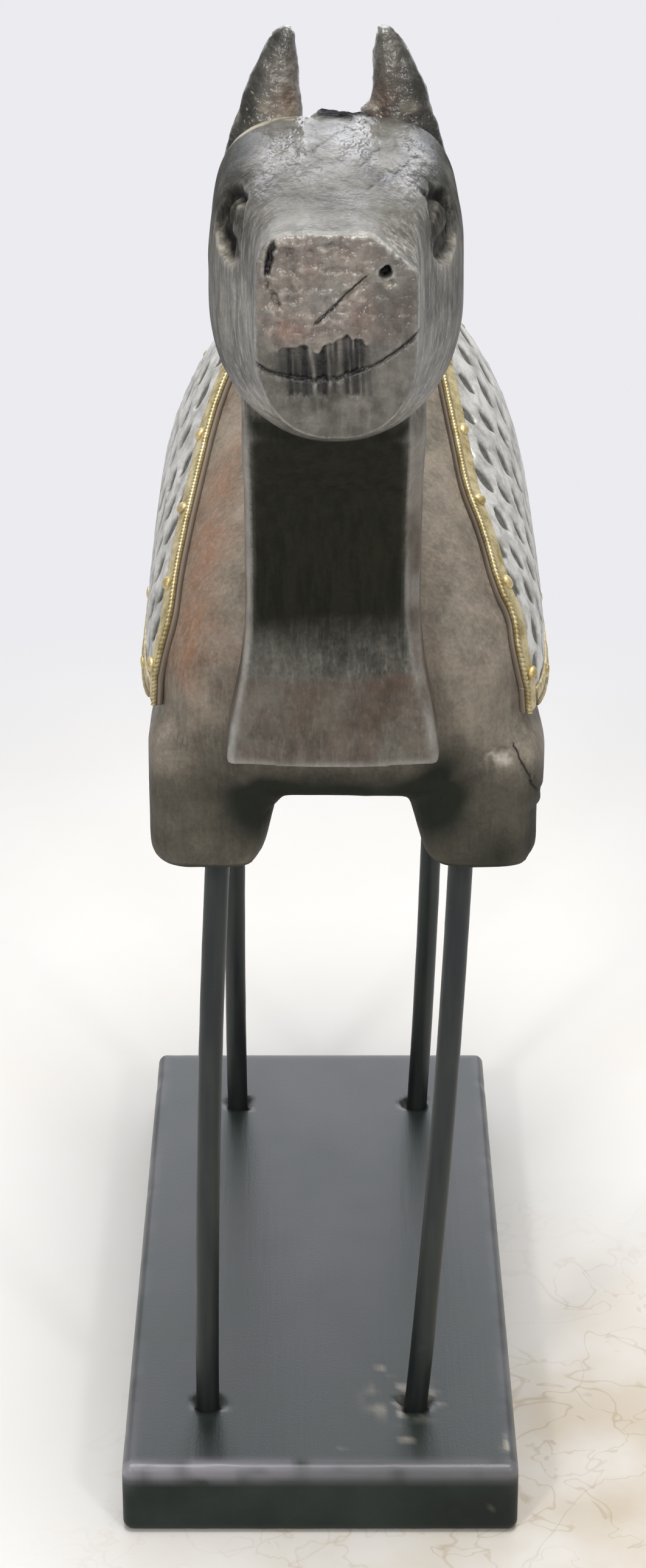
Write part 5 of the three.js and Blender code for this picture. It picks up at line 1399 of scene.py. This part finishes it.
def tack_shell(seat, normal, seed, dome):
    """A domed tack head on its shank: a dome r = R sin, h = H cos with a dented rim, turned to stand along
    its normal."""
    radius = bpy.context.scene.camel_cladding.tack_diameter / MM / 2
    rise = np.linspace(0.06, math.pi / 2, 8)[:, None]
    turn = full_turn(20)
    dent = 1 + 0.1 * np.cos(2 * turn + seed) + 0.06 * np.cos(3 * turn + 2.3 * seed)
    out = radius * np.sin(rise) * dent
    height = dome * np.cos(rise) + 0.1 * np.sin(turn + seed) * np.sin(rise)
    shank = np.full((1, 20), SHANK_RADIUS)
    out = np.concatenate([out, 0.95 * out[-1:], shank, shank])
    ends = np.broadcast_to([[-0.4], [-SHANK_LENGTH]], (2, 20))
    height = np.concatenate([height, height[-1:] - 0.35, ends])
    helper = np.array([0.0, 1.0, 0.0]) if abs(normal[1]) < 0.8 else np.array([1.0, 0.0, 0.0])
    one = unit(np.cross(normal, helper))
    two = np.cross(normal, one)
    cos, sin = (out * np.cos(turn))[..., None], (out * np.sin(turn))[..., None]
    return loft(seat + cos * one + sin * two + height[..., None] * normal)


def tack_row(side, path, count, margin):
    """Seats and normals of a strip's tacks, evenly spaced between margins at its ends."""
    t, _ = even_places(side, path, lambda whole: np.linspace(margin, whole - margin, count))
    y, down = step_inward(side, path, t, np.full(count, TACK_ACROSS))
    normal = flank_frame(side, y, down)[2]
    return flank(side, y, down) + (STRIP_LIFT + 0.75) * normal, normal


def make_tacks():
    """Rows of domed brass tacks, one piece to each strip."""
    colour = bpy.context.scene.camel_cladding.tack_colour
    material = aged_brass("domed_brass_tack", colour, "#ae985f")
    rows = {}
    for row, (side, path) in strip_paths().items():
        lower = row.startswith("lower")
        count, margin = (HEM_TACKS, HEM_MARGIN) if lower else (EDGE_TACKS, EDGE_MARGIN)
        rows[row] = tack_row(side, path, count, margin)
    y = lerp(*ridge_range(), (np.arange(RIDGE_TACKS) + 0.5) / RIDGE_TACKS)
    slope = (ridge_place(y + 0.1, 0) - ridge_place(y - 0.1, 0)) / 0.2
    seat = np.stack([np.full_like(y, TORSO_X), y, ridge_place(y, 0) + STRIP_LIFT + 1.3], 1)
    rows["ridge"] = (seat, unit(np.stack([np.zeros_like(y), -slope, np.ones_like(y)], 1)))
    for k, (row, (seats, normals)) in enumerate(rows.items()):
        dome = HEM_TACK_DOME if row.startswith("lower") else TACK_DOME
        count = len(seats)
        shells = [tack_shell(seats[i], normals[i], 1.7 * i + k, dome) for i in range(count)]
        points, faces = joined([(points, outward(points, faces)) for points, faces in shells])
        nodes = [f"tack_{row}_{i + 1}" for i in range(count)]
        piece(f"tacks_{row}", points, faces, material, nodes, {"low": np.zeros(len(points))})


# Stage


def limewash():
    """Limewashed floor, brushed and pale: faintly clouded, with brown dirt and thin curls of it beside the
    board. Further off it turns to the backdrop for the rays that show it, and keeps the figure's shadow."""
    material, tree, shader, place, _ = new_material("pale_limewashed_floor")
    cloud = add(tree, "TexNoise", {"Vector": place, "Scale": per_mm(90), "Detail": 6.0, "Roughness": 0.65})
    pale = bpy.context.scene.camel_stage.floor_colour
    colour = add(tree, "ValToRGB", {"Fac": cloud}, stops=((0.34, "#f0ece6"), (0.6, pale)))
    patch = add(tree, "TexNoise", {"Vector": place, "Scale": per_mm(45), "Detail": 4.0, "W": 7.0},
                noise_dimensions="4D")
    patch = add(tree, "MapRange", {"Value": patch, "From Min": 0.42, "From Max": 0.64, "To Min": 0.35,
                                   "To Max": 1.0})
    spot = add(tree, "VectorMath", {0: place, 1: DIRT_PLACE}, operation="DISTANCE")
    near = add(tree, "MapRange", {"Value": spot, "From Min": DIRT_FROM, "From Max": DIRT_TO, "To Min": 1.0,
                                  "To Max": 0.0})
    dirty = add(tree, "Math", {0: patch, 1: near}, operation="MULTIPLY")
    colour = add(tree, "Mix", {0: dirty, 6: colour, 7: linear("#d3c5b0")}, data_type="RGBA")
    for size, turn in ((26, 1.0), (45, 5.0)):
        curl = add(tree, "TexNoise", {"Vector": place, "Scale": per_mm(size), "Detail": 3.0,
                                      "Distortion": 0.8, "W": turn}, noise_dimensions="4D")
        off = add(tree, "Math", {0: curl, 1: 0.5}, operation="SUBTRACT")
        off = add(tree, "Math", {0: off}, operation="ABSOLUTE")
        line = add(tree, "MapRange", {"Value": off, "From Max": 0.008, "To Min": 1.0, "To Max": 0.0})
        line = add(tree, "Math", {0: line, 1: dirty}, operation="MULTIPLY")
        colour = add(tree, "Mix", {0: line, 6: colour, 7: linear("#c4b399")}, data_type="RGBA")
    feed(tree, shader, {"Base Color": colour, "Roughness": 0.75})
    away = add(tree, "VectorMath", {0: place, 1: FADE_CENTRE}, operation="DISTANCE")
    far = add(tree, "MapRange", {"Value": away, "From Min": FADE_FROM, "From Max": FADE_TO},
              interpolation_type="SMOOTHSTEP")
    path = add(tree, "LightPath").outputs
    seen = path["Is Camera Ray"]
    for ray in ("Is Glossy Ray", "Is Transmission Ray"):
        seen = add(tree, "Math", {0: seen, 1: path[ray]}, operation="MAXIMUM")
    blend = add(tree, "Math", {0: far, 1: seen}, operation="MULTIPLY")
    white = add(tree, "Emission", {"Color": linear(BACKDROP), "Strength": 1.0})
    mixed = add(tree, "MixShader", {0: blend, 1: shader, 2: white})
    feed(tree, tree.nodes["Material Output"], {"Surface": mixed})
    return material


def make_floor():
    """A flat floor just under the board."""
    x, y = np.meshgrid(np.linspace(*FLOOR_X, 3), np.linspace(*FLOOR_Y, 3), indexing="ij")
    points = np.stack([x, y, np.full_like(x, FLOOR_Z)], -1).reshape(-1, 3)
    mesh = raw_mesh("floor", points, [grid_quads(3, 3)[:, ::-1]])
    mesh.materials.append(limewash())
    floor = new_object("floor", mesh)


def make_surround():
    """Faint light from all round, which the camera sees as a white backdrop and a gloss sees as white only
    behind the figure."""
    surround = bpy.context.scene.camel_stage.surround
    world = bpy.data.worlds.new("white_surround")
    world.use_nodes = True
    tree = world.node_tree
    tree.nodes.clear()
    lit = add(tree, "Background", {"Color": linear("#f4f6fa"), "Strength": surround})
    shown = add(tree, "Background", {"Color": linear(BACKDROP), "Strength": 1.0})
    deep = add(tree, "SeparateXYZ", {0: add(tree, "TexCoord").outputs["Object"]}).outputs["Y"]
    behind = add(tree, "MapRange", {"Value": deep, "From Min": 0.3, "From Max": 0.85, "To Min": surround,
                                    "To Max": 1.0})
    mirrored = add(tree, "Background", {"Color": linear(BACKDROP), "Strength": behind})
    path = add(tree, "LightPath").outputs
    mixed = add(tree, "MixShader", {0: path["Is Glossy Ray"], 1: lit, 2: mirrored})
    rays = {0: path["Is Camera Ray"], 1: path["Is Transmission Ray"]}
    direct = add(tree, "Math", rays, operation="MAXIMUM")
    mixed = add(tree, "MixShader", {0: direct, 1: mixed, 2: shown})
    add(tree, "OutputWorld", {"Surface": mixed})
    bpy.context.scene.world = world


def make_lamps():
    """Four soft round lamps: above, behind, and two in front of the figure, each turned to its aim."""
    stage = bpy.context.scene.camel_stage
    lamps = (
        ("overhead", (0.05, -0.2, 1.4), (0.05, -0.05, 0.25), 0.8, "#ffffff", stage.overhead),
        ("backdrop", (0.0, 2.2, 1.0), (0.0, 0.0, 0.3), 1.9, "#f3f6ff", stage.backdrop),
        ("left_fill", (-0.6, -1.2, 1.0), (0.0, -0.1, 0.3), 0.18, "#ffffff", 1.3 * stage.fill),
        ("right_fill", (0.65, -1.15, 0.95), (0.0, -0.1, 0.3), 0.18, "#ffffff", 0.8 * stage.fill),
    )
    for name, place, aim, size, tint, power in lamps:
        data = bpy.data.lights.new(name, "AREA")
        data.shape = "DISK"
        data.size = size
        data.energy = power
        data.color = linear(tint)[:3]
        lamp = new_object(name, data)
        lamp.location = place
        lamp.visible_camera = False
        way = unit(np.array(aim) - np.array(place))
        lamp.rotation_euler = (math.acos(-way[2]), 0, math.atan2(-way[0], way[1]))


def make_camera():
    """The photograph's camera, from its solved place, tilt and focal length."""
    data = bpy.data.cameras.new("camera")
    data.sensor_fit = "VERTICAL"
    data.sensor_height = SENSOR_MM
    data.lens = SENSOR_MM * FOCAL_PIXELS / PHOTO_PIXELS
    camera = new_object("camera", data)
    camera.location = CAMERA_PLACE
    camera.rotation_euler = (math.radians(CAMERA_DEGREES), 0, 0)
    bpy.context.scene.camera = camera


def make_stage():
    """A pale floor, a white surround, soft light from above and in front, and the photograph's camera."""
    make_floor()
    make_surround()
    make_lamps()
    make_camera()
    bpy.context.scene.view_settings.view_transform = "Standard"


# Add-on


def length(name, description, default):
    """A length setting, with its default in millimetres."""
    return FloatProperty(name=name, description=description, default=default * MM, subtype="DISTANCE",
                         unit="LENGTH")


def paint(name, description, default):
    """A colour setting, with its default as sRGB hex."""
    return FloatVectorProperty(name=name, description=description, default=linear(default)[:3],
                               subtype="COLOR", size=3, min=0, max=1)


class CamelBaseSettings(bpy.types.PropertyGroup):
    """Sizes and colours of the board and rods."""

    edge_radius: length("Edge radius", "Rounding of the board's edges", 2.6)
    rod_diameter: length("Rod diameter", "Thickness of the leg rods", 6)
    board_colour: paint("Board paint", "Colour of the board's paint", "#2c3530")
    rod_colour: paint("Iron", "Colour of the leg rods", "#353a35")


class CamelWoodSettings(bpy.types.PropertyGroup):
    """Fineness and colours of the carved pieces."""

    body_voxel: length("Body fineness", "Facet size of the carved body", 1.0)
    head_voxel: length("Head fineness", "Facet size of the carved head", 0.8)
    body_colour: paint("Body wood", "Lighter colour of the body's wood", "#988d7f")
    head_colour: paint("Head wood", "Lighter colour of the head's wood", "#9a968c")


class CamelCladdingSettings(bpy.types.PropertyGroup):
    """Sizes and colours of the embossing, strips and tacks."""

    row_pitch: length("Row pitch", "Distance between rows of leaves", 9.4)
    leaf_spacing: length("Leaf spacing", "Distance between leaves in a row", 12.1)
    leaf_length: length("Leaf length", "Length of a stamped leaf", 8.0)
    leaf_width: length("Leaf width", "Width of a stamped leaf", 7.0)
    leaf_depth: length("Leaf depth", "Depth of a stamped leaf", 0.7)
    rope_pitch: length("Rope pitch", "Distance between twists of the beaded border", 1.05)
    tack_diameter: length("Tack diameter", "Diameter of a tack's head", 3.2)
    sheet_colour: paint("White metal", "Colour of the raised sheet", "#d8d7d2")
    strip_colour: paint("Strip brass", "Colour of the rubbed strips", "#d8c99c")
    tack_colour: paint("Tack brass", "Colour of the rubbed tacks", "#decda0")


def power(name, description, default):
    """A lamp's power setting, in watts."""
    return FloatProperty(name=name, description=description, default=default, subtype="POWER", unit="POWER")


class CamelStageSettings(bpy.types.PropertyGroup):
    """Strengths of the light and colour of the floor."""

    surround: FloatProperty(name="Surround", description="Strength of the light from all round", default=0.27)
    overhead: power("Overhead", "Power of the lamp above", 16.5)
    backdrop: power("Backdrop", "Power of the lamp behind the figure", 13.0)
    fill: power("Fill", "Power of each front lamp", 4.4)
    floor_colour: paint("Floor", "Lighter colour of the floor", "#f0eeea")


class CAMEL_OT_board(bpy.types.Operator):
    """Make the painted board"""

    bl_idname = "camel.board"
    bl_label = "Painted board"

    def execute(self, context):
        make_board()
        return {"FINISHED"}


class CAMEL_OT_rods(bpy.types.Operator):
    """Make the four leg rods"""

    bl_idname = "camel.rods"
    bl_label = "Leg rods"

    def execute(self, context):
        make_rods()
        return {"FINISHED"}


class CAMEL_OT_body(bpy.types.Operator):
    """Make the carved body"""

    bl_idname = "camel.body"
    bl_label = "Carved body"

    def execute(self, context):
        make_body()
        return {"FINISHED"}


class CAMEL_OT_head(bpy.types.Operator):
    """Make the carved head, its neck and its ears"""

    bl_idname = "camel.head"
    bl_label = "Head, neck and ears"

    def execute(self, context):
        make_ears(make_head())
        return {"FINISHED"}


class CAMEL_OT_dowels(bpy.types.Operator):
    """Finish the hidden dowels"""

    bl_idname = "camel.dowels"
    bl_label = "Neck dowels"

    def execute(self, context):
        material = turned_beech()
        for name in ("neck_dowel_lower", "neck_dowel_upper"):
            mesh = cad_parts[name].data
            mesh.materials.clear()
            mesh.materials.append(material)
        return {"FINISHED"}


class CAMEL_OT_sheets(bpy.types.Operator):
    """Make the embossed flank sheets"""

    bl_idname = "camel.sheets"
    bl_label = "Flank sheets"

    def execute(self, context):
        make_sheets()
        return {"FINISHED"}


class CAMEL_OT_strips(bpy.types.Operator):
    """Make the brass strips"""

    bl_idname = "camel.strips"
    bl_label = "Brass strips"

    def execute(self, context):
        make_strips()
        return {"FINISHED"}


class CAMEL_OT_tacks(bpy.types.Operator):
    """Make the brass tacks"""

    bl_idname = "camel.tacks"
    bl_label = "Brass tacks"

    def execute(self, context):
        make_tacks()
        return {"FINISHED"}


class CAMEL_OT_stage(bpy.types.Operator):
    """Make the floor, light and camera"""

    bl_idname = "camel.stage"
    bl_label = "Stage"

    def execute(self, context):
        make_stage()
        return {"FINISHED"}


OPERATORS = (
    CAMEL_OT_stage, CAMEL_OT_board, CAMEL_OT_rods, CAMEL_OT_body, CAMEL_OT_head, CAMEL_OT_dowels,
    CAMEL_OT_sheets, CAMEL_OT_strips, CAMEL_OT_tacks,
)
SETTINGS = {
    "camel_base": CamelBaseSettings,
    "camel_wood": CamelWoodSettings,
    "camel_cladding": CamelCladdingSettings,
    "camel_stage": CamelStageSettings,
}


class CAMEL_PT_panel(bpy.types.Panel):
    """Sizes and steps of the camel"""

    bl_label = "Carved camel"
    bl_idname = "CAMEL_PT_panel"
    bl_space_type = "VIEW_3D"
    bl_region_type = "UI"
    bl_category = "Camel"

    def draw(self, context):
        for group in SETTINGS:
            box = self.layout.box()
            for name in getattr(context.scene, group).bl_rna.properties.keys():
                if name not in ("rna_type", "name"):
                    box.prop(getattr(context.scene, group), name)
        for operator in OPERATORS:
            self.layout.operator(operator.bl_idname)


def register():
    """Registers the settings, the operators and the panel."""
    for name, group in SETTINGS.items():
        bpy.utils.register_class(group)
        setattr(bpy.types.Scene, name, PointerProperty(type=group))
    for operator in OPERATORS:
        bpy.utils.register_class(operator)
    bpy.utils.register_class(CAMEL_PT_panel)


def unregister():
    """Takes out what register put in."""
    bpy.utils.unregister_class(CAMEL_PT_panel)
    for operator in reversed(OPERATORS):
        bpy.utils.unregister_class(operator)
    for name, group in SETTINGS.items():
        delattr(bpy.types.Scene, name)
        bpy.utils.unregister_class(group)


def main():
    """Makes every piece in order."""
    register()
    bpy.ops.camel.stage()
    bpy.ops.camel.board()
    bpy.ops.camel.rods()
    bpy.ops.camel.body()
    bpy.ops.camel.head()
    bpy.ops.camel.dowels()
    bpy.ops.camel.sheets()
    bpy.ops.camel.strips()
    bpy.ops.camel.tacks()


if __name__ == "__main__":
    main()
